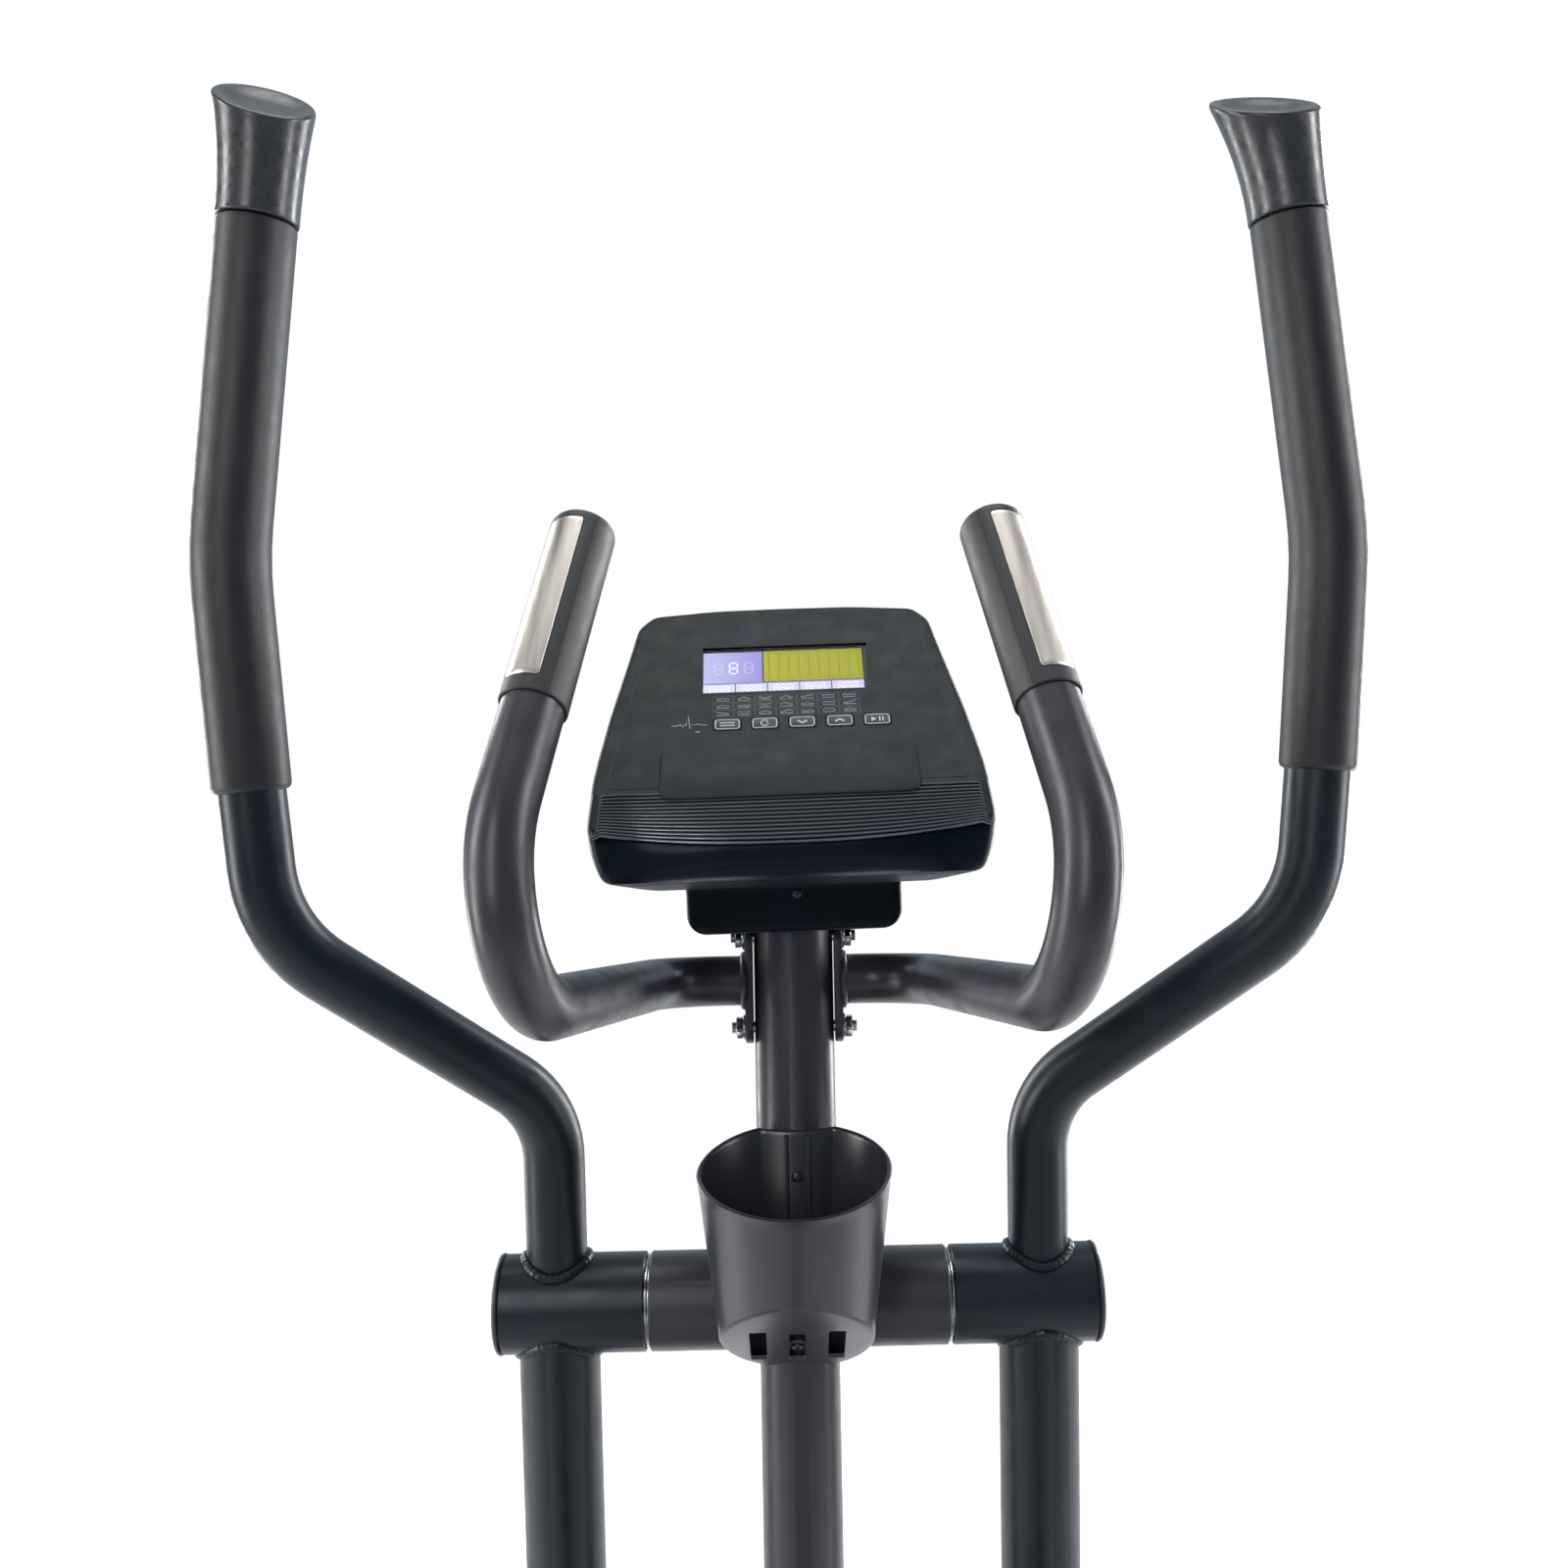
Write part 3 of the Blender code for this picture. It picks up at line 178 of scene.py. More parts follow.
def surface(
    name, colour, rough, metal=0.0, mottle=0.12, mottle_scale=22.0, rough_spread=0.06,
    grain=(900.0, 0.10, 0.0002), grain_stretch=None, edge=0.0, specular=0.5, dust=0.0,
):
    """A material with mottled colour, uneven gloss, fine grain, and edges painted lighter as a
    highlight.
    """
    values = {"Metallic": metal, "Specular IOR Level": specular}
    mat, tree, shader = new_material(name, values)
    place = node(tree, "TexCoord").outputs["Object"]
    patches = noise(tree, place, mottle_scale, 4.0, grain_stretch)
    dark = tuple(c * (1 - mottle) for c in colour)
    light = tuple(min(1.0, c * (1 + mottle)) for c in colour)
    tint = blended(tree, spread(tree, patches, 0, 1), dark, light)
    if dust:
        specks = spread(tree, noise(tree, place, 260.0, 6.0), 0, dust, 0.60, 0.78)
        tint = blended(tree, specks, tint, (0.42, 0.41, 0.39))
    if edge:
        # Convex edges are painted lighter: a painted highlight along each edge.
        bend = node(tree, "NewGeometry").outputs["Pointiness"]
        painted_edge_highlight = spread(tree, bend, 0, edge, 0.52, 0.60)
        tint = blended(tree, painted_edge_highlight, tint, tuple(min(1.0, c * 3 + 0.05) for c in colour))
    smears = noise(tree, place, mottle_scale * 2.6, 5.0, grain_stretch)
    gloss = spread(tree, smears, rough - rough_spread, rough + rough_spread)
    scale, strength, depth = grain
    height = noise(tree, place, scale, 2.0, grain_stretch)
    bump = node(tree, "Bump", {"Strength": strength, "Distance": depth, "Height": height})
    feed(tree, shader, {"Base Color": tint, "Roughness": gloss, "Normal": bump.outputs["Normal"]})
    return mat


def lit(name, low, high, start, end, strength):
    """A backlit display area, whose colour runs from low to high along X."""
    mat, tree, shader = new_material(name, {
        "Base Color": (0.01, 0.01, 0.012, 1), "Roughness": 0.5, "Specular IOR Level": 0.0,
        "Emission Strength": strength,
    })
    place = node(tree, "TexCoord").outputs["Object"]
    along = node(tree, "SeparateXYZ", {"Vector": place}).outputs["X"]
    share = spread(tree, along, 0, 1, start, end)
    feed(tree, shader, {"Emission Color": blended(tree, share, low, high)})
    return mat


def clear_glass():
    mat, _, _ = new_material("clear_window", {
        "Base Color": (0.96, 0.97, 0.97, 1), "Roughness": 0.06, "Transmission Weight": 1.0,
        "IOR": 1.12,
    })
    return mat


# Shapes: each is a list of points and a list of faces


def lofted(rings, loop=False):
    """A closed shape through rings of points."""
    count = len(rings[0])
    points = [tuple(p) for ring in rings for p in ring]
    faces = []
    pairs = list(zip(range(len(rings)), range(1, len(rings))))
    if loop:
        pairs.append((len(rings) - 1, 0))
    else:
        faces.append(tuple(range(count))[::-1])
        faces.append(tuple(range(len(points) - count, len(points))))
    for a, b in pairs:
        for i in range(count):
            j = (i + 1) % count
            faces.append((a * count + i, a * count + j, b * count + j, b * count + i))
    return points, faces


def together(*shapes):
    """Several shapes as one list of points and one of faces."""
    points, faces = [], []
    for some_points, some_faces in shapes:
        base = len(points)
        points += list(some_points)
        faces += [tuple(base + i for i in face) for face in some_faces]
    return points, faces


def ring(centre, side, up, radius, count=48):
    centre, side, up = Vector(centre), Vector(side), Vector(up)
    turn = 2 * math.pi / count
    return [
        centre + (side * math.cos(i * turn) + up * math.sin(i * turn)) * radius
        for i in range(count)
    ]


def turns(count):
    """Equal angles round a circle."""
    return [2 * math.pi * i / count for i in range(count)]


def filleted(corners, step=math.radians(5)):
    """The path through the corners with an arc at each, and the index where each one starts."""
    points = [Vector(point) for point, _ in corners]
    count = len(corners)
    path, marks = [], []
    for i, (_, radius) in enumerate(corners):
        marks.append(len(path))
        if not radius:
            path.append(points[i])
            continue
        before = (points[i - 1] - points[i]).normalized()
        after = (points[(i + 1) % count] - points[i]).normalized()
        turn = math.pi - before.angle(after)
        if turn < 0.01:
            path.append(points[i])
            continue
        reach = radius * math.tan(turn / 2)
        middle = (before + after).normalized()
        centre = points[i] + middle * radius / math.cos(turn / 2)
        start = points[i] + before * reach - centre
        across = (points[i] + after * reach - centre) - start * math.cos(turn)
        across.normalize()
        steps = max(2, math.ceil(turn / step))
        for k in range(steps + 1):
            angle = turn * k / steps
            path.append(centre + start * math.cos(angle) + across * radius * math.sin(angle))
    return path, marks


def rounded(points, radii, step=math.radians(12)):
    """A closed outline in a plane, with its corners rounded as far as their sides allow."""
    if not hasattr(radii, "__len__"):
        radii = [radii] * len(points)
    corners = []
    for i, point in enumerate(points):
        here = Vector((*point, 0))
        before = Vector((*points[i - 1], 0)) - here
        after = Vector((*points[(i + 1) % len(points)], 0)) - here
        turn = math.pi - before.angle(after)
        most = 0.49 * min(before.length, after.length) / max(math.tan(turn / 2), 1e-4)
        corners.append(((point[0], point[1], 0), min(radii[i], most)))
    path, _ = filleted(corners, step)
    return [(p.x, p.y) for p in path]


def outline_of(points, degrees):
    """A rounded outline through points of a, b and corner radius."""
    return rounded([p[:2] for p in points], [p[2] for p in points], math.radians(degrees))


def frames(path, first_side):
    """A side and an up direction at each point, carried along the path without twist."""
    side = Vector(first_side)
    result = []
    for i, point in enumerate(path):
        before, after = path[max(i - 1, 0)], path[min(i + 1, len(path) - 1)]
        along = (Vector(after) - Vector(before)).normalized()
        side = (side - along * side.dot(along)).normalized()
        result.append((Vector(point), side, along.cross(side)))
    return result


def tube(places, radii, count=48):
    """A round bar along places, with one radius or one for each place."""
    if not hasattr(radii, "__len__"):
        radii = [radii] * len(places)
    return lofted([ring(p, s, u, r, count) for (p, s, u), r in zip(places, radii)])


def bar(start, end, radius, count=48, edge=0.0006):
    """A straight round bar with eased edges."""
    start, end = Vector(start), Vector(end)
    along = (end - start).normalized()
    path = [start, start + along * edge, end - along * edge, end]
    side = (0, 1, 0) if abs(along.y) < 0.9 else (1, 0, 0)
    return tube(frames(path, side), [radius - edge, radius, radius, radius - edge], count)


def turned(profile, y=0.0, z=0.0, count=64, loop=False):
    """A shape turned about the line along X through y, z. The profile lists x and radius."""
    rings = [ring((x, y, z), (0, 1, 0), (0, 0, 1), radius, count) for x, radius in profile]
    return lofted(rings, loop)


def hexagon(stations, radius, z=0.0, least=0.0):
    """A bolt head along X. Each station is an x and a share of the radius."""
    rings = []
    for x, share in stations:
        points = []
        for angle in turns(48):
            flat = math.cos(math.pi / 6) / math.cos((angle % (math.pi / 3)) - math.pi / 6)
            reach = radius * share * max(flat, 0.0 if share == 1.0 else least)
            points.append((x, reach * math.cos(angle), z + reach * math.sin(angle)))
        rings.append(points)
    return lofted(rings)


def dense(outline, spacing):
    """A closed outline with points no further apart than the spacing."""
    result = []
    for i, (a, b) in enumerate(outline):
        a2, b2 = outline[(i + 1) % len(outline)]
        parts = max(1, math.ceil(math.hypot(a2 - a, b2 - b) / spacing))
        result += [(a + (a2 - a) * k / parts, b + (b2 - b) * k / parts) for k in range(parts)]
    return result


def prism(outline, low, high, to_point, edge=0.0):
    """An outline carried from low to high, with eased edges, through to_point(a, b, height)."""
    def smaller(amount):
        middle_a = sum(p[0] for p in outline) / len(outline)
        middle_b = sum(p[1] for p in outline) / len(outline)
        result = []
        for a, b in outline:
            away = Vector((a - middle_a, b - middle_b))
            away *= max(0.0, 1 - amount / max(away.length, 1e-6))
            result.append((middle_a + away.x, middle_b + away.y))
        return result

    stations = [(outline, low), (outline, high)]
    if edge:
        soft = smaller(edge)
        softer = smaller(edge * 0.3)
        stations = [
            (soft, low), (softer, low + edge * 0.3), (outline, low + edge),
            (outline, high - edge), (softer, high - edge * 0.3), (soft, high),
        ]
    return lofted([[to_point(a, b, height) for a, b in shape] for shape, height in stations])


def along_x(a, b, height):
    return (height, a, b)


def along_z(a, b, height):
    return (a, b, height)


def block(low, high, radius=0.002, edge=0.0008):
    """A box with rounded upright corners and eased edges."""
    corners = [(low[0], low[1]), (high[0], low[1]), (high[0], high[1]), (low[0], high[1])]
    return prism(rounded(corners, radius), low[2], high[2], along_z, edge)


def made(name, shape):
    mesh = bpy.data.meshes.new(name)
    points, faces = shape
    mesh.from_pydata([tuple(p) for p in points], [], faces)
    bm = bmesh.new()
    bm.from_mesh(mesh)
    bmesh.ops.recalc_face_normals(bm, faces=bm.faces)
    bm.to_mesh(mesh)
    bm.free()
    obj = bpy.data.objects.new(name, mesh)
    bpy.context.scene.collection.objects.link(obj)
    return obj


def solid(base, *tools, operation="UNION"):
    """The base joined with the tools, or cut by them, as one closed shape."""
    obj = made("solid_base", base)
    helpers = [made("solid_tool", tool) for tool in tools]
    for helper in helpers:
        modifier = obj.modifiers.new("solid", "BOOLEAN")
        modifier.operation = operation
        modifier.object = helper
        modifier.solver = "EXACT"
    graph = bpy.context.evaluated_depsgraph_get()
    mesh = bpy.data.meshes.new_from_object(obj.evaluated_get(graph))
    points = [v.co.copy() for v in mesh.vertices]
    faces = [tuple(p.vertices) for p in mesh.polygons]
    bpy.data.meshes.remove(mesh)
    for helper in [obj, *helpers]:
        bpy.data.objects.remove(helper, do_unlink=True)
    return points, faces


def cut(base, *tools):
    return solid(base, *tools, operation="DIFFERENCE")


def piece(name, shape, look, body, place=HERE, stands_for=(), sharp=35.0):
    """One finished piece with a named look, riding on its body."""
    obj = made(name, shape)
    obj.data.transform(place)
    obj.data.shade_smooth()
    obj.data.set_sharp_from_angle(angle=math.radians(sharp))
    obj.data.materials.append(LOOK[look])
    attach(obj, body)
    if stands_for:
        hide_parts(*stands_for)
    return obj


def soft_bevel(obj):
    modifier = obj.modifiers.new("edges", "BEVEL")
    modifier.width, modifier.segments = 0.0006, 2
    modifier.limit_method, modifier.angle_limit = "ANGLE", math.radians(35)
    modifier.harden_normals = False


# Solid shapes from a distance field


def outline_distance(points, p, q):
    """Distance from a closed outline, negative inside."""
    best = np.full(p.shape, 1e9, np.float32)
    inside = np.zeros(p.shape, bool)
    for (ax, ay), (bx, by) in zip(points, points[1:] + points[:1]):
        ex, ey = bx - ax, by - ay
        wx, wy = p - ax, q - ay
        t = np.clip((wx * ex + wy * ey) / (ex * ex + ey * ey), 0, 1)
        best = np.minimum(best, (wx - ex * t) ** 2 + (wy - ey * t) ** 2)
        if ay != by:
            crosses = (ay > q) != (by > q)
            inside ^= crosses & (p < ax + (q - ay) / (by - ay) * ex)
    return np.where(inside, -1, 1) * np.sqrt(best)


def smooth_max(a, b, reach):
    return np.maximum(a, b) + np.maximum(reach - np.abs(a - b), 0) ** 2 / (4 * reach)


def smooth_min(a, b, reach):
    return -smooth_max(-a, -b, reach)


def skin_of(field, low, step):
    """A mesh of the field's zero surface, with one point in each cell that it crosses."""
    shape = np.array(field.shape) - 1
    quads, spots = [], []
    for axis in range(3):
        u, v = (axis + 1) % 3, (axis + 2) % 3
        low_end, high_end = [slice(None)] * 3, [slice(None)] * 3
        low_end[axis], high_end[axis] = slice(0, -1), slice(1, None)
        a, b = field[tuple(low_end)], field[tuple(high_end)]
        index = np.argwhere((a < 0) != (b < 0))
        inner = (index[:, u] > 0) & (index[:, v] > 0)
        inner &= (index[:, u] < shape[u]) & (index[:, v] < shape[v])
        index = index[inner]
        from_value, to_value = a[tuple(index.T)], b[tuple(index.T)]
        spot = index.astype(float)
        spot[:, axis] += from_value / (from_value - to_value)
        cells = []
        for du, dv in ((-1, -1), (0, -1), (0, 0), (-1, 0)):
            cell = index.copy()
            cell[:, u] += du
            cell[:, v] += dv
            cells.append(np.ravel_multi_index(tuple(cell.T), tuple(shape)))
        cells = np.stack(cells, 1)
        turned_round = to_value < 0
        cells[turned_round] = cells[turned_round][:, ::-1]
        quads.append(cells)
        spots.append(np.repeat(spot[:, None, :], 4, 1).reshape(-1, 3))
    quads, spots = np.concatenate(quads), np.concatenate(spots)
    names, index = np.unique(quads.ravel(), return_inverse=True)
    count = np.bincount(index)
    points = np.stack([np.bincount(index, spots[:, k]) / count for k in range(3)], 1)
    points = points * step + np.array(low)
    return points, index.reshape(-1, 4)


def quick_mesh(name, points, quads):
    mesh = bpy.data.meshes.new(name)
    mesh.vertices.add(len(points))
    mesh.vertices.foreach_set("co", points.astype(np.float32).ravel())
    mesh.loops.add(quads.size)
    mesh.loops.foreach_set("vertex_index", quads.astype(np.int32).ravel())
    mesh.polygons.add(len(quads))
    mesh.polygons.foreach_set("loop_start", np.arange(0, quads.size, 4, dtype=np.int32))
    mesh.update(calc_edges=True)
    mesh.validate()
    return mesh


# Finishes


def finishes():
    """Every look by its name. The three ranges of X are those of the display's lit areas."""
    digits, matrix, across = (-0.048, -0.014), (-0.010, 0.050), (-0.050, 0.050)
    return {
        "paint": surface(
            "charcoal_powder_coat", (0.0340, 0.0330, 0.0400), 0.36, metal=0.20, mottle=0.10,
            grain=(1400.0, 0.12, 0.0002), edge=0.06, specular=0.5,
        ),
        # The arms take a darker, bluer copy of the charcoal powder coat: painted shade.
        "arm_paint": surface(
            "charcoal_powder_coat_painted_shade", (0.0030, 0.0080, 0.0150), 0.36, metal=0.10, mottle=0.10,
            grain=(1400.0, 0.12, 0.0002), edge=0.06, specular=0.42,
        ),
        "foam": surface(
            "grip_foam", (0.0110, 0.0115, 0.0140), 0.44, mottle=0.14, mottle_scale=45.0,
            grain=(2600.0, 0.30, 0.0003), specular=0.45,
        ),
        "cap": surface(
            "cap_rubber", (0.027, 0.028, 0.032), 0.30, mottle=0.18, mottle_scale=60.0,
            rough_spread=0.09, grain=(420.0, 0.07, 0.0004), edge=0.10, dust=0.03,
        ),
        "pulse_grip": surface(
            "pulse_grip_plastic", (0.013, 0.0135, 0.015), 0.48, mottle=0.12, mottle_scale=60.0,
            grain=(1900.0, 0.25, 0.0002), edge=0.10,
        ),
        "brushed": surface(
            "brushed_steel", (0.50, 0.455, 0.41), 0.36, metal=1.0, mottle=0.16, mottle_scale=14.0,
            rough_spread=0.08, grain=(420.0, 0.32, 0.0003), grain_stretch=(9.0, 0.5, 0.5), edge=0.2,
        ),
        "zinc": surface(
            "zinc_plated_steel", (0.62, 0.63, 0.64), 0.22, metal=1.0, mottle=0.12,
            mottle_scale=80.0, grain=(700.0, 0.08, 0.0002), edge=0.15,
        ),
        "dark_bolt": surface(
            "blackened_steel", (0.045, 0.045, 0.048), 0.32, metal=0.8, mottle=0.15,
            mottle_scale=120.0, edge=0.4,
        ),
        "face": surface(
            "console_face_film", (0.0050, 0.0095, 0.0112), 0.50, mottle=0.06, mottle_scale=30.0,
            grain=(2400.0, 0.18, 0.0002), specular=0.26, dust=0.01,
        ),
        "gloss": surface(
            "console_gloss_plastic", (0.0006, 0.0040, 0.0100), 0.34, mottle=0.10,
            mottle_scale=40.0, rough_spread=0.03, grain=(1500.0, 0.03, 0.0002), specular=0.14,
        ),
        # The ribs' base colour is lighter than the tray's plastic: a painted highlight along each
        # rib.
        "rib": surface(
            "rib_plastic_painted_highlight", (0.0550, 0.0600, 0.0660), 0.14, mottle=0.06, mottle_scale=40.0,
            specular=1.0,
        ),
        # Black for the display's bezel and the grips' seams, and as painted shade in the face's
        # groove.
        "line": surface("black_line_and_groove_shade", (0.004, 0.004, 0.005), 0.60, mottle=0.05),
        "print": surface("screen_print", (0.50, 0.51, 0.52), 0.55, mottle=0.06, mottle_scale=300.0),
        "faint": surface("faint_print", (0.12, 0.13, 0.135), 0.55, mottle=0.12, mottle_scale=300.0),
        "key": surface("key_film", (0.014, 0.017, 0.019), 0.45, mottle=0.06, mottle_scale=90.0),
        "board": surface(
            "solder_mask", (0.012, 0.10, 0.035), 0.35, mottle=0.15, mottle_scale=140.0
        ),
        "cable": surface("cable_jacket", (0.014, 0.014, 0.015), 0.50, mottle=0.10),
        "cup": surface(
            "cup_plastic", (0.0215, 0.0225, 0.0300), 0.30, mottle=0.02, mottle_scale=18.0,
            rough_spread=0.005, grain=(1600.0, 0.02, 0.0001), specular=0.70,
        ),
        "moulded": surface(
            "moulded_plastic", (0.0135, 0.0145, 0.0165), 0.42, mottle=0.12, mottle_scale=18.0,
            rough_spread=0.07, grain=(850.0, 0.45, 0.0003), edge=0.12,
        ),
        "tread": surface(
            "tread_plastic", (0.015, 0.0155, 0.0165), 0.60, mottle=0.16, mottle_scale=26.0,
            grain=(700.0, 0.55, 0.0003), edge=0.20, dust=0.05,
        ),
        "rubber": surface(
            "wheel_rubber", (0.018, 0.018, 0.019), 0.68, mottle=0.18, mottle_scale=90.0,
            grain=(900.0, 0.40, 0.0003), dust=0.05,
        ),
        "nylon": surface("bearing_nylon", (0.70, 0.69, 0.64), 0.45, mottle=0.05, mottle_scale=60.0),
        "iron": surface(
            "turned_iron", (0.24, 0.24, 0.245), 0.38, metal=0.9, mottle=0.18, mottle_scale=50.0,
            grain=(500.0, 0.30, 0.0003), edge=0.2,
        ),
        "motor": surface("motor_plastic", (0.016, 0.016, 0.017), 0.50, mottle=0.12),
        "symbol": surface(
            "symbol_print", (0.36, 0.37, 0.38), 0.55, mottle=0.08, mottle_scale=300.0
        ),
        "violet": lit("violet_backlight", (0.58, 0.60, 1.0), (0.38, 0.34, 0.82), *digits, 0.9),
        "olive": lit("olive_backlight", (0.54, 0.54, 0.030), (0.47, 0.48, 0.030), *matrix, 0.85),
        "pale": lit("pale_backlight", (0.80, 0.84, 1.0), (0.74, 0.72, 1.0), *across, 0.95),
        "ghost": lit("ghost_digits", (0.78, 0.79, 1.0), (0.58, 0.54, 1.0), *digits, 0.9),
        "white_light": lit("lit_digits", (0.95, 0.97, 1.0), (0.92, 0.94, 1.0), *across, 1.1),
        "olive_dark": lit("matrix_lines", (0.34, 0.35, 0.02), (0.30, 0.31, 0.02), *matrix, 0.8),
        "divider": lit("cell_dividers", (0.26, 0.24, 0.60), (0.22, 0.20, 0.52), *across, 0.8),
        "window": clear_glass(),
    }


# Handles and arms


def mirrored(corners, side):
    return [((side * x, y, z), radius) for (x, y, z), radius in corners]


def handle_path(side):
    path, marks = filleted(mirrored(HANDLE_CORNERS, side))
    return frames(path, (0, 1, 0)), marks[GRIP_START]


def weld(centres, radius, ripples):
    """A rippled bead along a closed line of points."""
    count = len(centres)
    rings = []
    middle = sum(centres, Vector()) / count
    for i, point in enumerate(centres):
        along = (centres[(i + 1) % count] - centres[i - 1]).normalized()
        away = point - middle
        away = (away - along * away.dot(along)).normalized()
        ripple = 1 + 0.035 * math.sin(2 * math.pi * ripples * i / count)
        rings.append(ring(point, away, along.cross(away), radius * ripple, 10))
    return lofted(rings, loop=True)


def saddle_line(x, tube_r, sleeve_r, sign):
    """Where an upright tube at x meets a sleeve along X, above it or below it."""
    result = []
    for angle in turns(240):
        y = tube_r * math.sin(angle)
        z = sign * math.sqrt(max(0.0, sleeve_r**2 - y * y))
        result.append(Vector((x + tube_r * math.cos(angle), y, z)))
    return result


def build_arm(side_name, side):
    place = UPPER @ Matrix.Rotation(-side * SWING, 4, "X")
    body = f"{side_name}_arm"
    path, grip_start = handle_path(side)
    x, foot = side * ARM_X, -ARM_LENGTH
    sleeve = bar((side * 0.097, 0, 0), (side * 0.187, 0, 0), CROSS_R, 72)
    tubes = solid(
        tube(path, HANDLE_R),
        bar((x, 0, -0.005), (x, 0, foot + 0.004), LOWER_ARM_R, 64),
        sleeve,
        bar((x - 0.027, 0, foot), (x + 0.027, 0, foot), 0.020, 48),
    )
    bores = (
        bar((side * 0.09, 0, 0), (side * 0.2, 0, 0), 0.0208, 48),
        bar((x - 0.05, 0, foot), (x + 0.05, 0, foot), 0.0066, 32),
    )
    arm = cut(tubes, *bores)
    name = f"{side_name}_swing_arm"
    piece(f"{name}_tubes", arm, "arm_paint", body, place, [name])
    lines = (
        ("upper", saddle_line(x, HANDLE_R + 0.0006, CROSS_R, 1), 0.0034, 34),
        ("lower", saddle_line(x, LOWER_ARM_R + 0.0001, CROSS_R - 0.0002, -1), 0.0031, 42),
    )
    for where, centres, radius, ripples in lines:
        bead = weld(centres, radius, ripples)
        piece(f"{side_name}_{where}_weld", bead, "arm_paint", body, place)
    build_grip(side_name, path[grip_start:], place)
    build_handle_cap(side_name, side, place)
    build_pivot_cap(side_name, side, place)


def build_grip(side_name, places, place):
    """A foam sleeve with rounded ends over the handle's tube."""
    start, side, up = places[0]
    ahead = (places[1][0] - start).normalized()
    end, end_side, end_up = places[-1]
    back = (places[-2][0] - end).normalized()
    low = [(0.0, 0.0034), (0.0006, 0.0018), (0.0018, 0.0006), (0.0040, 0.0)]
    high = [(0.0016, 0.0), (0.0006, 0.0004), (0.0, 0.0014)]
    outer = [ring(start + ahead * d, side, up, GRIP_R - less) for d, less in low]
    outer += [ring(p, s, u, GRIP_R) for p, s, u in places[1:-1]]
    outer += [ring(end + back * d, end_side, end_up, GRIP_R - less) for d, less in high]
    inner = [ring(p, s, u, HANDLE_R + 0.0003) for p, s, u in places]
    name = f"{side_name}_handle_grip"
    shape = lofted(outer + inner[::-1], loop=True)
    piece(f"{name}_foam", shape, "foam", f"{side_name}_arm", place, [name])


def build_handle_cap(side_name, side, place):
    """A flared rubber cap with a soft rim and a dished oval top."""
    outer, inner, near_slope, side_slope = CAP_TOPS[side_name]
    corners = [Vector(point) for point, _ in mirrored(HANDLE_CORNERS, side)]
    end = corners[-1]
    along = (end - corners[-2]).normalized()
    outward = (Vector((side, 0, 0)) - along * side * along.x).normalized()
    away = (Vector((0, 1, 0)) - along * along.y).normalized()
    stations = [(0.0, 0.955, 0.0), (0.005, 0.985, 0.0), (0.016, 1.0, 0.0)]
    stations += [(0.05 + 0.89 * i / 30, 1.0, 0.0) for i in range(31)]
    stations += [
        (0.94 + 0.06 * math.sin(a), 1 - 0.075 * (1 - math.cos(a)), 0.0)
        for a in (math.pi / 2 * k / 8 for k in range(1, 9))
    ]
    stations += [
        (1.0, 0.925 * (1 - s), -0.0042 * math.sin(math.pi / 2 * min(1.0, s / 0.55)) ** 2)
        for s in (0.03, 0.07, 0.12, 0.18, 0.25, 0.34, 0.45, 0.58, 0.72, 0.86, 0.97)
    ]
    rings = []
    for t, size, dish in stations:
        flare = t**2.2
        half_x = (CAP_BASE_R + ((outer + inner) / 2 - CAP_BASE_R) * flare) * size
        half_y = (CAP_BASE_R + (CAP_DEPTH - CAP_BASE_R) * flare) * size
        centre = end + along * (0.0009 + (CAP_HEIGHT - 0.0022) * t + dish)
        centre += outward * (outer - inner) / 2 * flare
        points = []
        for angle in turns(72):
            across, deep = half_x * math.cos(angle), half_y * math.sin(angle)
            slant = along * (near_slope * deep + side_slope * across) * flare
            points.append(centre + outward * across + away * deep + slant)
        rings.append(points)
    name = f"{side_name}_handle_cap"
    shape = lofted(rings)
    body = f"{side_name}_arm"
    piece(f"{name}_rubber", shape, "cap", body, place, [name], 60)


def build_pivot_cap(side_name, side, place):
    profile = (
        (0.182, 0.0195), (0.1873, 0.0195), (0.1873, 0.0306), (0.1879, 0.0310), (0.1888, 0.0310),
        (0.1899, 0.0303), (0.1907, 0.0288), (0.1911, 0.0268), (0.1914, 0.0235), (0.1911, 0.0222),
        (0.1906, 0.0216), (0.1903, 0.0200), (0.1903, 0.0120), (0.1906, 0.0090), (0.1908, 0.0050),
        (0.1908, 0.0010),
    )
    shape = turned([(side * x, radius) for x, radius in profile])
    name = f"{side_name}_pivot_cap"
    body = f"{side_name}_arm"
    piece(f"{name}_disc", shape, "moulded", body, place, [name], 50)


# Mast, pivot and cup holder


def build_mast():
    foot = -(0.920 - 0.113) / math.cos(LEAN)
    cross = bar((-0.094, 0, 0), (0.094, 0, 0), CROSS_R, 72, 0.0009)
    tubes = solid(bar((0, 0, foot), (0, 0, 0.262), MAST_R, 64), cross)
    bores = [bar((0, 0, foot - 0.01), (0, 0, 0.28), MAST_BORE_R, 48)]
    bores += [bar((-0.1, 0, 0), (0.1, 0, 0), 0.0128, 32)]
    mast = cut(tubes, *bores)
    piece("mast_tubes", mast, "paint", "frame", MAST_LINE, ["mast"])
    centres = saddle_line(0.0, MAST_R + 0.0004, CROSS_R, -1)
    piece("mast_weld", weld(centres, 0.0024, 40), "paint", "frame", MAST_LINE)
    for side_name, side in SIDES.items():
        build_washers(side_name, side)


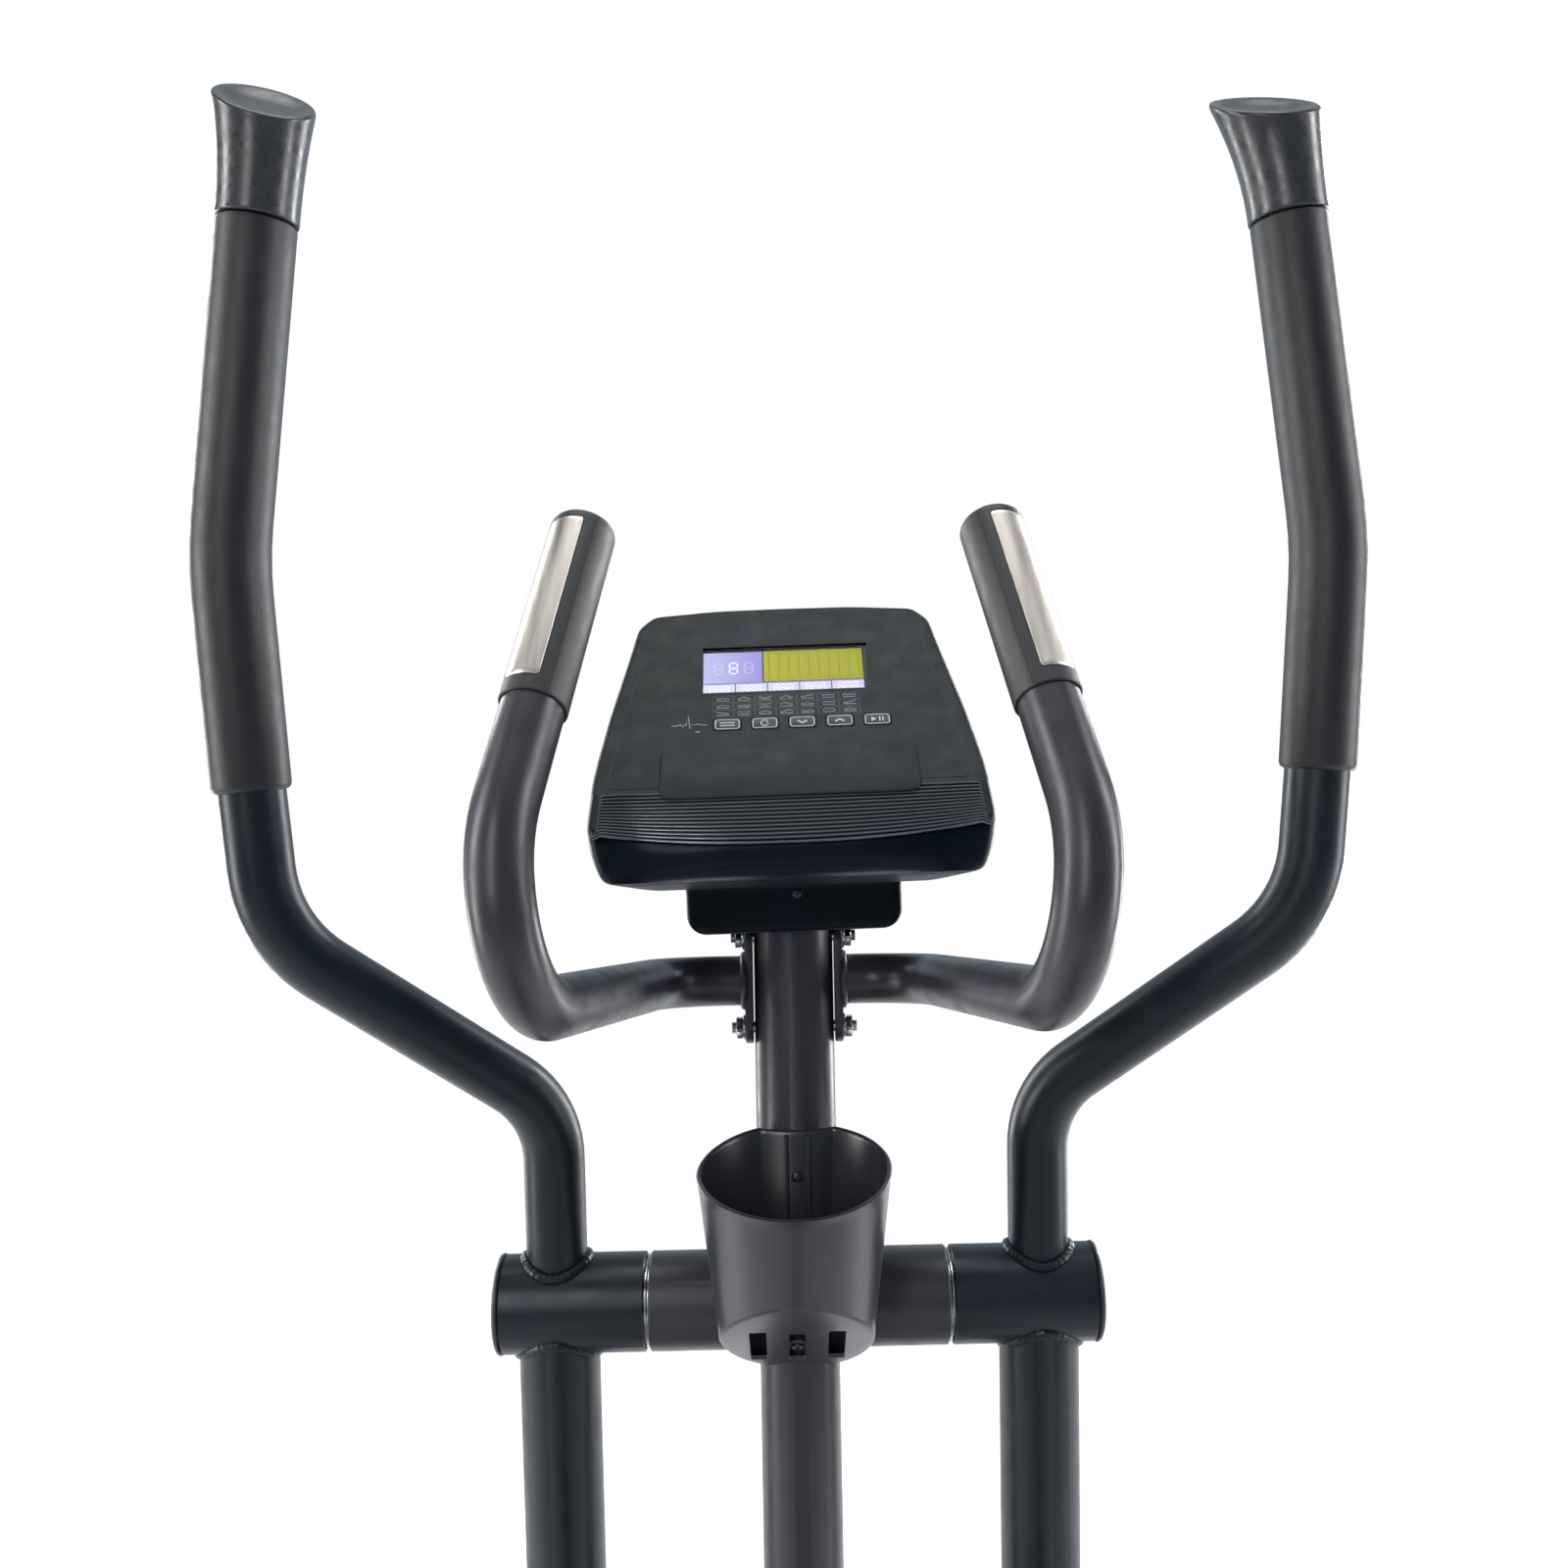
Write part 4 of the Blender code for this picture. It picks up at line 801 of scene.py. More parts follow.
def build_washers(side_name, side):
    """A wave washer between two flat ones, where the cross tube meets the arm's sleeve."""
    rings = []
    for angle in turns(144):
        x = side * (0.0955 + 0.00045 * math.sin(3 * angle))
        section = ((-0.0002, 0.0150), (0.0002, 0.0150), (0.0002, 0.0289), (-0.0002, 0.0289))
        rings.append([
            (x + dx, radius * math.cos(angle), radius * math.sin(angle)) for dx, radius in section
        ])
    wave = lofted(rings, loop=True)
    flats = []
    for inner, outer in ((0.0943, 0.0948), (0.0962, 0.0967)):
        profile = ((inner, 0.0135), (inner, 0.0262), (outer, 0.0262), (outer, 0.0135))
        flats.append(turned([(side * x, radius) for x, radius in profile], loop=True))
    name = f"{side_name}_wave_washer"
    shape = together(wave, *flats)
    piece(f"{name}_stack", shape, "zinc", "frame", MAST_LINE, [name])


CUP_BACK_Y, CUP_SADDLE, CUP_WALL = -0.0217, 0.004, 0.0025
CUP_FOOT_SLOPE = -0.708


def cup_foot(y):
    """Height of the cup's sloping base."""
    return -0.0361 + CUP_FOOT_SLOPE * (y + 0.0282)


def cup_section(radius, chord, back_y, inset):
    """A round outline whose back follows the front of the mast in a shallow saddle."""
    centre = back_y - math.sqrt(radius**2 - chord**2)
    radius, chord = radius - inset, chord - inset * 0.6
    start, count = math.asin(chord / radius), 84
    points = []
    for i in range(count + 1):
        angle = start + (2 * math.pi - 2 * start) * i / count
        points.append((radius * math.sin(angle), centre + radius * math.cos(angle)))
    back = points[0][1]
    for k in range(1, 12):
        across = -chord + chord * k / 6
        points.append((across, back - CUP_SADDLE * (1 - (across / chord) ** 2)))
    return points


def build_cup():
    def rim(y):
        return 0.1105 + 0.280 * (y + 0.028)

    def station(share, inset, lift=0.0):
        """The outline at a share of the height, a wall's inset in, and lifted."""
        low = cup_section(0.0455, 0.0200, -0.0355, inset)
        high = cup_section(0.0575, 0.0242, CUP_BACK_Y, inset)
        points = []
        for (x0, y0), (x1, y1) in zip(low, high):
            x, y = x0 + (x1 - x0) * share, y0 + (y1 - y0) * share
            z = cup_foot(y0) + (rim(y1) - cup_foot(y0)) * share
            x -= 0.0022 * min(1.0, max(0.0, (-0.040 - y) / 0.040))
            points.append((x, y, z + lift))
        return points

    rings = [station(0.0, 0.0030), station(0.0, 0.0012, 0.0004), station(0.0, 0.0003, 0.0013)]
    rings += [station(0.02 + 0.955 * i / 12, 0.0) for i in range(13)]
    rings += [
        station(0.985, -0.0003), station(0.994, -0.0003, 0.0), station(1.0, 0.0003, -0.0001),
        station(1.0, 0.0010, 0.0001), station(1.0, 0.0019, -0.0003), station(0.992, CUP_WALL),
    ]
    rings += [station(0.98 - 0.95 * i / 8, CUP_WALL) for i in range(9)]
    rings += [station(0.0, 0.0040, 0.0026)]
    cup = lofted(rings)
    slots = [
        block((x - 0.0050, -0.090, -0.10), (x + 0.0050, -0.048, 0.0235), 0.001, 0.0)
        for x in (-0.0250, 0.0215)
    ]
    slots.append(block((-0.0066, -0.086, -0.10), (0.0030, -0.046, 0.0205), 0.001, 0.0))
    cup = cut(cup, *slots)
    piece("cup_shell", cup, "cup", "frame", MAST_LINE, ["cup_holder"], 40)
    ribs, mast_y = [], -0.0262
    for x in (-0.0068, 0.0068):
        rings = []
        for z, y in ((0.1085, -0.0295), (0.1075, -0.0312), (0.030, -0.0378), (0.015, -0.0388)):
            rings.append([
                (x - 0.0010, mast_y, z), (x + 0.0010, mast_y, z), (x + 0.0008, y, z),
                (x - 0.0008, y, z),
            ])
        ribs.append(lofted(rings))
    piece("cup_ribs", together(*ribs), "cup", "frame", MAST_LINE)


def pan_screw(head_r, height, shank_r, shank):
    """A screw with a domed head and a crossed recess, pointing along +Y from its head."""
    across, up = (1, 0, 0), (0, 0, 1)
    stations = [
        (-height * math.cos(a), max(0.0004, head_r * math.sin(a) ** 0.8))
        for a in (math.pi / 2 * k / 7 for k in range(8))
    ]
    stations += [(0.0004, head_r), (0.0004, shank_r), (shank, shank_r)]
    head = lofted([ring((0, y, 0), across, up, radius, 32) for y, radius in stations])
    arm, deep = head_r * 0.62, height * 0.75
    slots = [
        block((-w, -height - 0.001, -h), (w, -height + deep, h), 0.0001, 0.0)
        for w, h in ((arm, head_r * 0.13), (head_r * 0.13, arm))
    ]
    return cut(head, *slots)


def moved(shape, matrix):
    points, faces = shape
    return [matrix @ Vector(p) for p in points], faces


def build_cup_screws():
    screw = pan_screw(0.0046, 0.0026, 0.0022, 0.012)
    wall_y = CUP_BACK_Y - CUP_SADDLE - CUP_WALL
    place = MAST_LINE @ Matrix.Translation((0, wall_y - 0.0006, 0.0825))
    piece("cup_screw_steel", screw, "dark_bolt", "frame", place, ["cup_screw"])
    slope = Vector((0, 1, CUP_FOOT_SLOPE)).normalized()
    inwards = Vector((0, slope.z, -slope.y)) * -1
    spot = Vector((-0.0018, -0.0620, cup_foot(-0.0620))) + inwards * 0.0028
    boss = bar(spot, spot + inwards * 0.004, 0.0075, 32)
    piece("cup_boss", boss, "cup", "frame", MAST_LINE)
    turn = Vector((0, 1, 0)).rotation_difference(inwards).to_matrix().to_4x4()
    lower = pan_screw(0.0036, 0.0020, 0.0017, 0.003)
    place = MAST_LINE @ Matrix.Translation(spot - inwards * 0.0004) @ turn
    piece("cup_lower_screw", lower, "dark_bolt", "frame", place)


# Pulse bars


def build_pulse_bar(side_name, side):
    path, marks = filleted(mirrored(PULSE_CORNERS, side))
    places = frames(path, (0, 0, 1))
    name = f"{side_name}_pulse_bar"
    rod = tube(places, PULSE_R)
    piece(f"{name}_tube", rod, "paint", "frame", UPPER, [name])
    piece(f"{side_name}_pulse_flange", flange(side), "paint", "frame", UPPER)
    start = places[0][0]
    radius = PULSE_R + 0.0006
    centres = []
    for angle in turns(160):
        y, z = radius * math.sin(angle), radius * math.cos(angle)
        centres.append(Vector((side * 0.0318, start.y + y, start.z + z)))
    bead = weld(centres, 0.0022, 26)
    piece(f"{side_name}_pulse_weld", bead, "paint", "frame", UPPER)
    build_pulse_grip(side_name, side, places[marks[-2]:])


def flange_outline():
    """The rounded flange plate, in y and z from the pivot."""
    middle = sum(PULSE_BOLT_HEIGHTS.values()) / 2
    outline = []
    for height, turn in ((middle + 0.026, 0), (middle - 0.026, math.pi)):
        for k in range(17):
            angle = turn + math.pi * k / 16
            across = 0.013 * math.cos(angle)
            along = height + 0.013 * math.sin(angle)
            y = across * math.cos(LEAN) + along * math.sin(LEAN)
            z = -across * math.sin(LEAN) + along * math.cos(LEAN)
            outline.append((y, z))
    return outline


def flange(side):
    def to_point(a, b, height):
        return (side * height, a, b)

    return prism(flange_outline(), 0.0262, 0.0312, to_point, 0.0008)


def build_pulse_grip(side_name, side, places):
    """A moulded sleeve with a rounded top and a contact plate let into it."""
    (start, _, _), (end, across, up) = places[0], places[-1]
    along = (end - start).normalized()
    radius = PULSE_GRIP_R
    stations = [
        (start, PULSE_R + 0.0006), (start, radius - 0.0006), (start + along * 0.0006, radius),
        (end + along * 0.0008, radius),
    ]
    stations = [(end + along * 0.0003, PULSE_R + 0.0006)] + stations
    for k in range(1, 9):
        angle = math.pi / 2 * k / 8
        spot = end + along * (0.0008 + 0.0068 * math.sin(angle))
        stations.append((spot, radius - 0.0090 * (1 - math.cos(angle))))
    stations.append((end + along * 0.0079, 0.0040))
    sleeve = lofted([ring(point, across, up, r, 64) for point, r in stations])
    facing = Vector((side * 0.383, -0.924, 0))
    facing = (facing - along * facing.dot(along)).normalized()
    cross = along.cross(facing)

    def curved(distance_low, distance_high, half_angle, low, high, corner, ease):
        """A plate with rounded corners that follows the sleeve, between two radii."""
        half = half_angle * radius
        middle, reach = (distance_low + distance_high) / 2, (distance_high - distance_low) / 2
        corners = rectangle(middle, 0.0, reach, half)
        outline = dense(rounded(corners, corner), 0.0025)

        def wrapped(share_along, share_round, height):
            points = []
            for a, b in outline:
                angle = b * share_round / radius
                spoke = facing * math.cos(angle) + cross * math.sin(angle)
                spot = start + along * (middle + (a - middle) * share_along)
                points.append(spot + spoke * height)
            return points

        def smaller(share, height):
            return wrapped(1 - (1 - share) * half / reach, share, height)

        shares, top = (0.8, 0.6, 0.4, 0.2, 0.02), 1.0 - ease / half
        rings = [smaller(share, low) for share in shares[::-1]]
        rings += [wrapped(1, 1, low), wrapped(1, 1, high - ease), wrapped(top, top, high)]
        return lofted(rings + [smaller(share, high) for share in shares])

    pocket = curved(0.0084, 0.1111, 0.602, radius - 0.0007, radius + 0.003, 0.0022, 0.0)
    sleeve = cut(sleeve, pocket)
    name = f"{side_name}_pulse_grip"
    piece(f"{name}_sleeve", sleeve, "pulse_grip", "frame", UPPER, [name], 40)
    plate = curved(0.0090, 0.1105, 0.575, radius - 0.0005, radius + 0.0003, 0.0016, 0.0003)
    name = f"{side_name}_pulse_sensor"
    piece(f"{name}_plate", plate, "brushed", "frame", UPPER, [name], 40)
    seams = []
    for turn in (0.95, -0.95):
        spoke = facing * math.cos(turn) + cross * math.sin(turn)
        beside = along.cross(spoke)
        low = start + along * 0.0006 + spoke * (radius - 0.0003)
        high = end + along * 0.0004 + spoke * (radius - 0.0003)
        section = ((-0.00030, 0.0), (0.00030, 0.0), (0.00022, 0.00036), (-0.00022, 0.00036))
        ends = [[point + beside * a + spoke * b for a, b in section] for point in (low, high)]
        seams.append(lofted(ends))
    piece(f"{side_name}_grip_seams", together(*seams), "line", "frame", UPPER)


def build_pulse_bolts():
    """Through bolts with a hexagon, a washer and a stub of thread at each end."""
    washer = (
        (0, 0.0045), (0, 0.0078), (0.0003, 0.0081), (0.0011, 0.0081), (0.0013, 0.0078),
        (0.0013, 0.0045),
    )
    for name, height in PULSE_BOLT_HEIGHTS.items():
        shapes = []
        for side in SIDES.values():
            start = side * 0.0315
            profile = [(start + side * x, r) for x, r in washer]
            shapes.append(turned(profile, 0, height, 40, loop=True))
            stations = [(start + side * x, share) for x, share in PULSE_BOLT_HEAD]
            shapes.append(hexagon(stations, 0.0075, height, 0.9))
            thread = [(0.0050, 0.0034)]
            for i in range(7):
                thread += [(0.0052 + 0.0005 * i, 0.0034), (0.00545 + 0.0005 * i, 0.0038)]
            thread += [(0.0085, 0.0028)]
            shapes.append(turned([(start + side * x, r) for x, r in thread], 0, height, 32))
        shapes.append(bar((-0.032, 0, height), (0.032, 0, height), 0.0040, 24))
        name = f"{name}_pulse_bolt"
        shape = together(*shapes)
        piece(f"{name}_set", shape, "zinc", "frame", MAST_LINE, [name], 30)


# Console

SIDE_VIEW = (
    (-0.1515, 0.3085, 0.0016), (-0.152, 0.2985, 0.012), (-0.141, 0.2895, 0.020),
    (-0.080, 0.2765, 0.080), (0.058, 0.270, 0.012), (0.070, 0.280, 0.012), (0.072, 0.304, 0.040),
    (0.034, 0.428, 0.012), (0.022, 0.4395, 0.008), (0.004, 0.4405, 0.0025), (-0.105, 0.335, 0.002),
)
FRONT_HALF = (
    (0.066, 0.268, 0.020), (0.086, 0.2785, 0.030), (0.1025, 0.289, 0.022), (0.1080, 0.303, 0.030),
    (0.1110, 0.320, 0.050), (0.1116, 0.337, 0.020), (0.1030, 0.376, 0.100), (0.0938, 0.410, 0.060),
    (0.0893, 0.4285, 0.012), (0.080, 0.4362, 0.012), (0.040, 0.4388, 0.100),
)
PLAN_HALF = ((0.113, -0.136, 0.012), (0.080, -0.1445, 0.080), (0.040, -0.1505, 0.080))
# The photograph shows the console turned a little about the line of sight
CONSOLE = (
    UPPER
    @ Matrix.Translation((0, 0, 0.2989))
    @ Matrix.Rotation(math.radians(-1.2), 4, "Y")
    @ Matrix.Translation((0, 0, -0.3))
)
PARTING, SEAM, WALL = -0.018, 0.00015, 0.003
GRID = 0.00125


def on_face(x, up, out=0.0):
    """The point at x, up the face and out of it."""
    return Vector((x, 0, 0)) + FACE_FOOT + FACE_UP * up + FACE_OUT * out


def console_outlines():
    side = outline_of(SIDE_VIEW, 6)
    halves = list(FRONT_HALF) + [(-x, z, r) for x, z, r in reversed(FRONT_HALF)]
    front = outline_of(halves, 6)
    plan = list(PLAN_HALF) + [(-x, y, r) for x, y, r in reversed(PLAN_HALF)]
    plan += [(-0.113, 0.080, 0.004), (0.113, 0.080, 0.004)]
    return side, front, outline_of(plan, 6)


def console_shells():
    """The front and rear shells, hollow, with the seam between them and openings cut."""
    low, high = (-0.1165, -0.1560, 0.2380), (0.1165, 0.0760, 0.4440)
    axes = [np.arange(a, b + GRID, GRID, dtype=np.float32) for a, b in zip(low, high)]
    x, y, z = axes[0][:, None, None], axes[1][None, :, None], axes[2][None, None, :]
    side, front, plan = console_outlines()
    from_side = outline_distance(side, *np.meshgrid(axes[1], axes[2], indexing="ij"))[None]
    from_front = outline_distance(front, *np.meshgrid(axes[0], axes[2], indexing="ij"))[:, None, :]
    from_plan = outline_distance(plan, *np.meshgrid(axes[0], axes[1], indexing="ij"))[:, :, None]
    body = smooth_max(smooth_max(from_side, from_front, 0.0035), from_plan, 0.0060)
    out = (y - FACE_FOOT.y) * FACE_OUT.y + (z - FACE_FOOT.z) * FACE_OUT.z
    up = (y - FACE_FOOT.y) * FACE_UP.y + (z - FACE_FOOT.z) * FACE_UP.z
    front_shell = np.maximum(np.maximum(body, -(body + WALL)), PARTING + SEAM - out)
    windows = [(0.0, LCD_UP, LCD_HALF)] + [(key_x, KEY_UP, KEY_HALF) for key_x in KEY_X]
    gap, reach = 0.0004, 0.01
    for centre_x, centre_up, half in windows:
        beyond_x, beyond_up = np.abs(x - centre_x) - half[0], np.abs(up - centre_up) - half[1]
        window = np.maximum(beyond_x, beyond_up) - gap
        front_shell = np.maximum(front_shell, -np.maximum(window, np.abs(out) - reach))
    neck_half, foot_z, foot_r = 0.0655, 0.2535, 0.012
    beyond_x, below = np.abs(x) - neck_half, np.maximum(foot_z - z, 0)
    corner = np.hypot(np.maximum(beyond_x + foot_r, 0), below) - foot_r
    neck = np.where(z > foot_z, beyond_x, np.maximum(corner, beyond_x))
    neck = smooth_max(neck, np.abs(y - 0.020) - 0.052, 0.005)
    neck = smooth_max(neck, z - 0.290, 0.002)
    outer = smooth_min(body, neck, 0.006)
    inner = np.minimum(body + WALL, neck + WALL)
    along_y = y * math.cos(LEAN) - z * math.sin(LEAN)
    mouth = np.hypot(x, along_y) - MAST_R - 0.0028
    mouth = np.maximum(mouth, z - 0.285)
    plates = np.maximum(np.maximum(np.abs(x) - 0.0405, np.abs(along_y) - 0.0185), z - 0.260)
    rear_shell = np.maximum(np.maximum(outer, -inner), out - PARTING + SEAM)
    rear_shell = np.maximum(rear_shell, -np.minimum(mouth, plates))
    return [skin_of(field.astype(np.float32), low, GRID) for field in (front_shell, rear_shell)]


def build_console():
    front, rear = console_shells()
    parts = (
        ("console_front_cover", front, "console_front_shell", "console_face", ("gloss", "face")),
        ("console_rear_cover", rear, "console_back_shell", "console_rear", ("gloss", "gloss")),
    )
    for name, (points, quads), stands_for, slot, looks in parts:
        mesh = quick_mesh(name, points, quads)
        mesh.shade_smooth()
        mesh.set_sharp_from_angle(angle=math.radians(50))
        for look_name in looks:
            mesh.materials.append(LOOK[look_name])
        middle = points[quads].mean(1) - np.array(FACE_FOOT)
        out, up = middle @ np.array(FACE_OUT), middle @ np.array(FACE_UP)
        on_top = (np.abs(out) < 0.0011) & (up > 0.0006) & (slot == "console_face")
        mesh.polygons.foreach_set("material_index", on_top.astype(np.int32))
        mesh.transform(CONSOLE)
        obj = bpy.data.objects.new(name, mesh)
        bpy.context.scene.collection.objects.link(obj)
        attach(obj, "frame")
        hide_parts(stands_for)
    build_ribs()
    build_ledge()
    build_overlay()
    build_display()
    build_keys()
    build_face_prints()
    build_neck_screw()


def half_width(z):
    """Half the console's width at a height above the pivot."""
    widths, heights, _ = zip(*FRONT_HALF)
    return float(np.interp(z, heights, widths))


def build_ribs():
    """Fine ribs across the tray, bowed further forward the nearer they are to its edge."""
    count, shapes = 14, []
    for k in range(count):
        share = 0.040 + 0.920 * k / (count - 1)
        y, z = -0.105 - 0.0465 * share, 0.335 - 0.0265 * share
        reach = half_width(z) - 0.0026
        path = []
        for i in range(41):
            x = -reach + 2 * reach * i / 40
            bow = 0.0125 * (abs(x) / 0.108) ** 2.3 * share**1.5
            drop = 0.0032 * max(0.0, (abs(x) - reach + 0.004) / 0.004) ** 2
            path.append(Vector((x, y + bow, z + bow * 0.5699 - drop)))
        rings = []
        for point, side, up in frames(path, (0, 0, 1)):
            rings.append([
                point + side * 0.00072 * math.cos(angle) + up * 0.00125 * math.sin(angle)
                for angle in turns(12)
            ])
        shapes.append(lofted(rings))
    piece("tray_ribs", together(*shapes), "rib", "frame", CONSOLE)


def build_ledge():
    """The raised panel that grows out of the lower face and overhangs the tray."""
    corners = [(-0.0725, 0.0420), (0.0725, 0.0420), (0.0725, -0.0095), (-0.0725, -0.0095)]
    outline = rounded(corners, [0.0012, 0.0012, 0.0085, 0.0085], math.radians(8))

    def height(b, top):
        share = 1 - (b + 0.0095) / 0.0515
        return (-0.0008 + 0.0054 * share) if top else (-0.0016 + 0.0026 * share)

    stations = (
        (0.0010, 0.0, False), (0.0, 0.0008, False), (0.0, -0.0010, True), (0.0003, -0.0004, True),
        (0.0011, 0.0, True),
    )
    rings, middle = [], 0.01625
    for inset, lift, top in stations:
        shape = []
        for a, b in outline:
            a, b = a * (1 - inset / 0.0725), middle + (b - middle) * (1 - inset / 0.02575)
            shape.append(on_face(a, b, height(b, top) + lift))
        rings.append(shape)
    piece("console_ledge_panel", lofted(rings), "face", "frame", CONSOLE)


def overlay_outline(inset_side, inset_top, foot):
    """The face's outline, drawn in from its sides and its top."""
    right = []
    top = FACE_LENGTH - inset_top
    for i in range(15):
        up = foot + (top - foot) * i / 14
        right.append((half_width(on_face(0, up).z) - inset_side, up))
    crown = [(0.040, top + 0.0012), (0.0, top + 0.0016), (-0.040, top + 0.0012)]
    outline = right + crown + [(-a, b) for a, b in reversed(right)]
    radii = [0.006] + [0.3] * 13 + [0.011] + [0.2] * 3 + [0.011] + [0.3] * 13 + [0.006]
    return rounded(outline, radii, math.radians(8))


def ribbon(points, width, low, high, closed=False):
    """A flat line on the face through points of x and height up the face."""
    count = len(points)
    rings = []
    for i, point in enumerate(points):
        before = Vector(points[i - 1]) if closed or i else Vector(point)
        after = Vector(points[(i + 1) % count]) if closed or i < count - 1 else Vector(point)
        along = (after - before).normalized()
        beside = Vector((-along.y, along.x)) * width / 2
        here = Vector(point)
        left, right = here - beside, here + beside
        rings.append([
            on_face(left.x, left.y, low), on_face(right.x, right.y, low),
            on_face(right.x, right.y, high), on_face(left.x, left.y, high),
        ])
    return lofted(rings, loop=closed)


def build_overlay():
    """The printed film, with openings for the display and the keys, and a black ribbon round it as
    the painted shade of its fine groove.
    """
    outline = overlay_outline(0.0098, 0.0052, 0.0030)
    film = prism(outline, -0.0001, 0.00028, on_face, 0.0)
    corners = [rounded(rectangle(0, LCD_UP, *grown(LCD_HALF, -0.0006)), 0.0010)]
    corners += [rounded(rectangle(x, KEY_UP, *grown(KEY_HALF, 0.0004)), 0.0022) for x in KEY_X]
    film = cut(film, *[prism(opening, -0.002, 0.002, on_face) for opening in corners])
    piece("console_face_overlay", film, "face", "frame", CONSOLE)
    # A black ribbon round the film: painted shade of the groove.
    line = ribbon(overlay_outline(0.0093, 0.0047, 0.0025), 0.0009, -0.0002, 0.00006, closed=True)
    piece("console_face_groove_shade", line, "line", "frame", CONSOLE)


def rectangle(x, up, half_x, half_up):
    signs = ((-1, -1), (1, -1), (1, 1), (-1, 1))
    return [(x + a * half_x, up + b * half_up) for a, b in signs]


def grown(half, more):
    """Half sizes of a rectangle, made larger or smaller on every side."""
    return half[0] + more, half[1] + more


def rounded_line(x, up, half_x, half_up, radius, width, low, high):
    outline = rounded(rectangle(x, up, half_x, half_up), radius, math.radians(15))
    return ribbon(outline, width, low, high, closed=True)


def plate_at(x, up, half_x, half_up, low, high):
    return prism(rectangle(x, up, half_x, half_up), low, high, on_face)


SEGMENTS = {
    "top": ((-1, 2), (1, 2)), "middle": ((-1, 0), (1, 0)), "bottom": ((-1, -2), (1, -2)),
    "left_high": ((-1, 0), (-1, 2)), "right_high": ((1, 0), (1, 2)),
    "left_low": ((-1, -2), (-1, 0)), "right_low": ((1, -2), (1, 0)),
}


def digit(x, up, size, low, high):
    """The seven bars of a display digit."""
    bars = []
    for (ax, ay), (bx, by) in SEGMENTS.values():
        start = Vector((x + ax * size * 0.5, up + ay * size * 0.5))
        end = Vector((x + bx * size * 0.5, up + by * size * 0.5))
        gap = (end - start).normalized() * size * 0.14
        bars.append(ribbon([tuple(start + gap), tuple(end - gap)], size * 0.22, low, high))
    return bars


def build_display():
    """A lit display: a digit window, a dot matrix and a row of values, behind a clear window."""
    def show(name, look, *shapes, stands_for=()):
        piece(name, together(*shapes), look, "frame", CONSOLE, stands_for)

    base = plate_at(0, LCD_UP, *LCD_HALF, -0.0032, -0.0024)
    show("display_bezel", "line", base, stands_for=["console_lens"])
    outline = rounded(rectangle(0, LCD_UP, *grown(LCD_HALF, -0.0001)), 0.0008)
    show("display_window", "window", prism(outline, -0.0013, -0.0004, on_face))
    top, floor, left, right = LCD_UP + 0.0170, LCD_UP - 0.0193, -0.0490, 0.0462
    areas = (
        ("display_digit_area", left, -0.0138, LCD_UP - 0.0092, top, "violet"),
        ("display_matrix_area", -0.0130, right, LCD_UP - 0.0088, top, "olive"),
        ("display_value_row", left, right, floor, LCD_UP - 0.0097, "pale"),
    )
    for name, x0, x1, u0, u1, colour in areas:
        middle, half = ((x0 + x1) / 2, (u0 + u1) / 2), ((x1 - x0) / 2, (u1 - u0) / 2)
        show(name, colour, plate_at(*middle, *half, -0.0024, -0.0021))
    digit_up, ink = LCD_UP + 0.0030, (-0.0021, -0.00206)
    ghosts, marks, values = [], [], []
    for x in (-0.0400, -0.0310, -0.0220):
        ghosts += digit(x, digit_up, 0.0046, -0.0021, -0.00205)
    bright = digit(-0.0310, digit_up, 0.0046, -0.0020, -0.00195)
    for i in range(10):
        marks.append(plate_at(-0.0098 + 0.0060 * i, LCD_UP + 0.0042, 0.00032, 0.0115, *ink))
    for up in (LCD_UP - 0.0070, LCD_UP + 0.0154):
        marks.append(plate_at(0.0166, up, 0.0285, 0.00022, *ink))
    cell = 0.0190
    dividers = [
        plate_at(left + cell * i, LCD_UP - 0.0145, 0.0004, 0.0044, *ink) for i in range(1, 5)
    ]
    dividers.append(plate_at(-0.0014, LCD_UP - 0.0102, 0.0476, 0.0003, *ink))
    for i in range(5):
        for k in (-1, 0, 1):
            values += digit(-0.0395 + cell * i + 0.0042 * k, LCD_UP - 0.0148, 0.0027, *ink)
    show("display_ghost_digits", "ghost", *ghosts)
    show("display_lit_digit", "white_light", *bright)
    show("display_matrix_lines", "olive_dark", *marks)
    show("display_dividers", "divider", *dividers)
    show("display_value_digits", "white_light", *values)


def key_symbol(name, x):
    """A plain symbol for each key."""
    up, low, high, width = KEY_UP, 0.00062, 0.00070, 0.00075

    def line(points, share=1.0):
        return ribbon([(x + a, up + b) for a, b in points], width * share, low, high)

    if name == "mode":
        return [line([(-0.0042, k), (0.0042, k)]) for k in (-0.0011, 0.0011)]
    if name == "reset":
        bends = [0.9 + 5.0 * i / 20 for i in range(21)]
        arc = [(0.0022 * math.cos(a), 0.0022 * math.sin(a)) for a in bends]
        arrow = ((-0.0019, 0.0004), (0.0001, 0.0001), (0.0003, -0.0018))
        head = [(arc[0][0] + a, arc[0][1] + b) for a, b in arrow]
        return [line(arc, 0.9), line(head, 0.9)]
    if name in ("down", "up"):
        foot, tip = (-0.0008, 0.0010) if name == "up" else (0.0008, -0.0010)
        return [line([(-0.0026, foot), (0, tip), (0.0026, foot)], 1.5)]
    corners = ((-0.0034, -0.0018), (-0.0004, 0), (-0.0034, 0.0018))
    triangle = prism([(x + a, up + b) for a, b in corners], low, high, on_face)
    return [triangle] + [line([(k, -0.0018), (k, 0.0018)]) for k in (0.0014, 0.0032)]


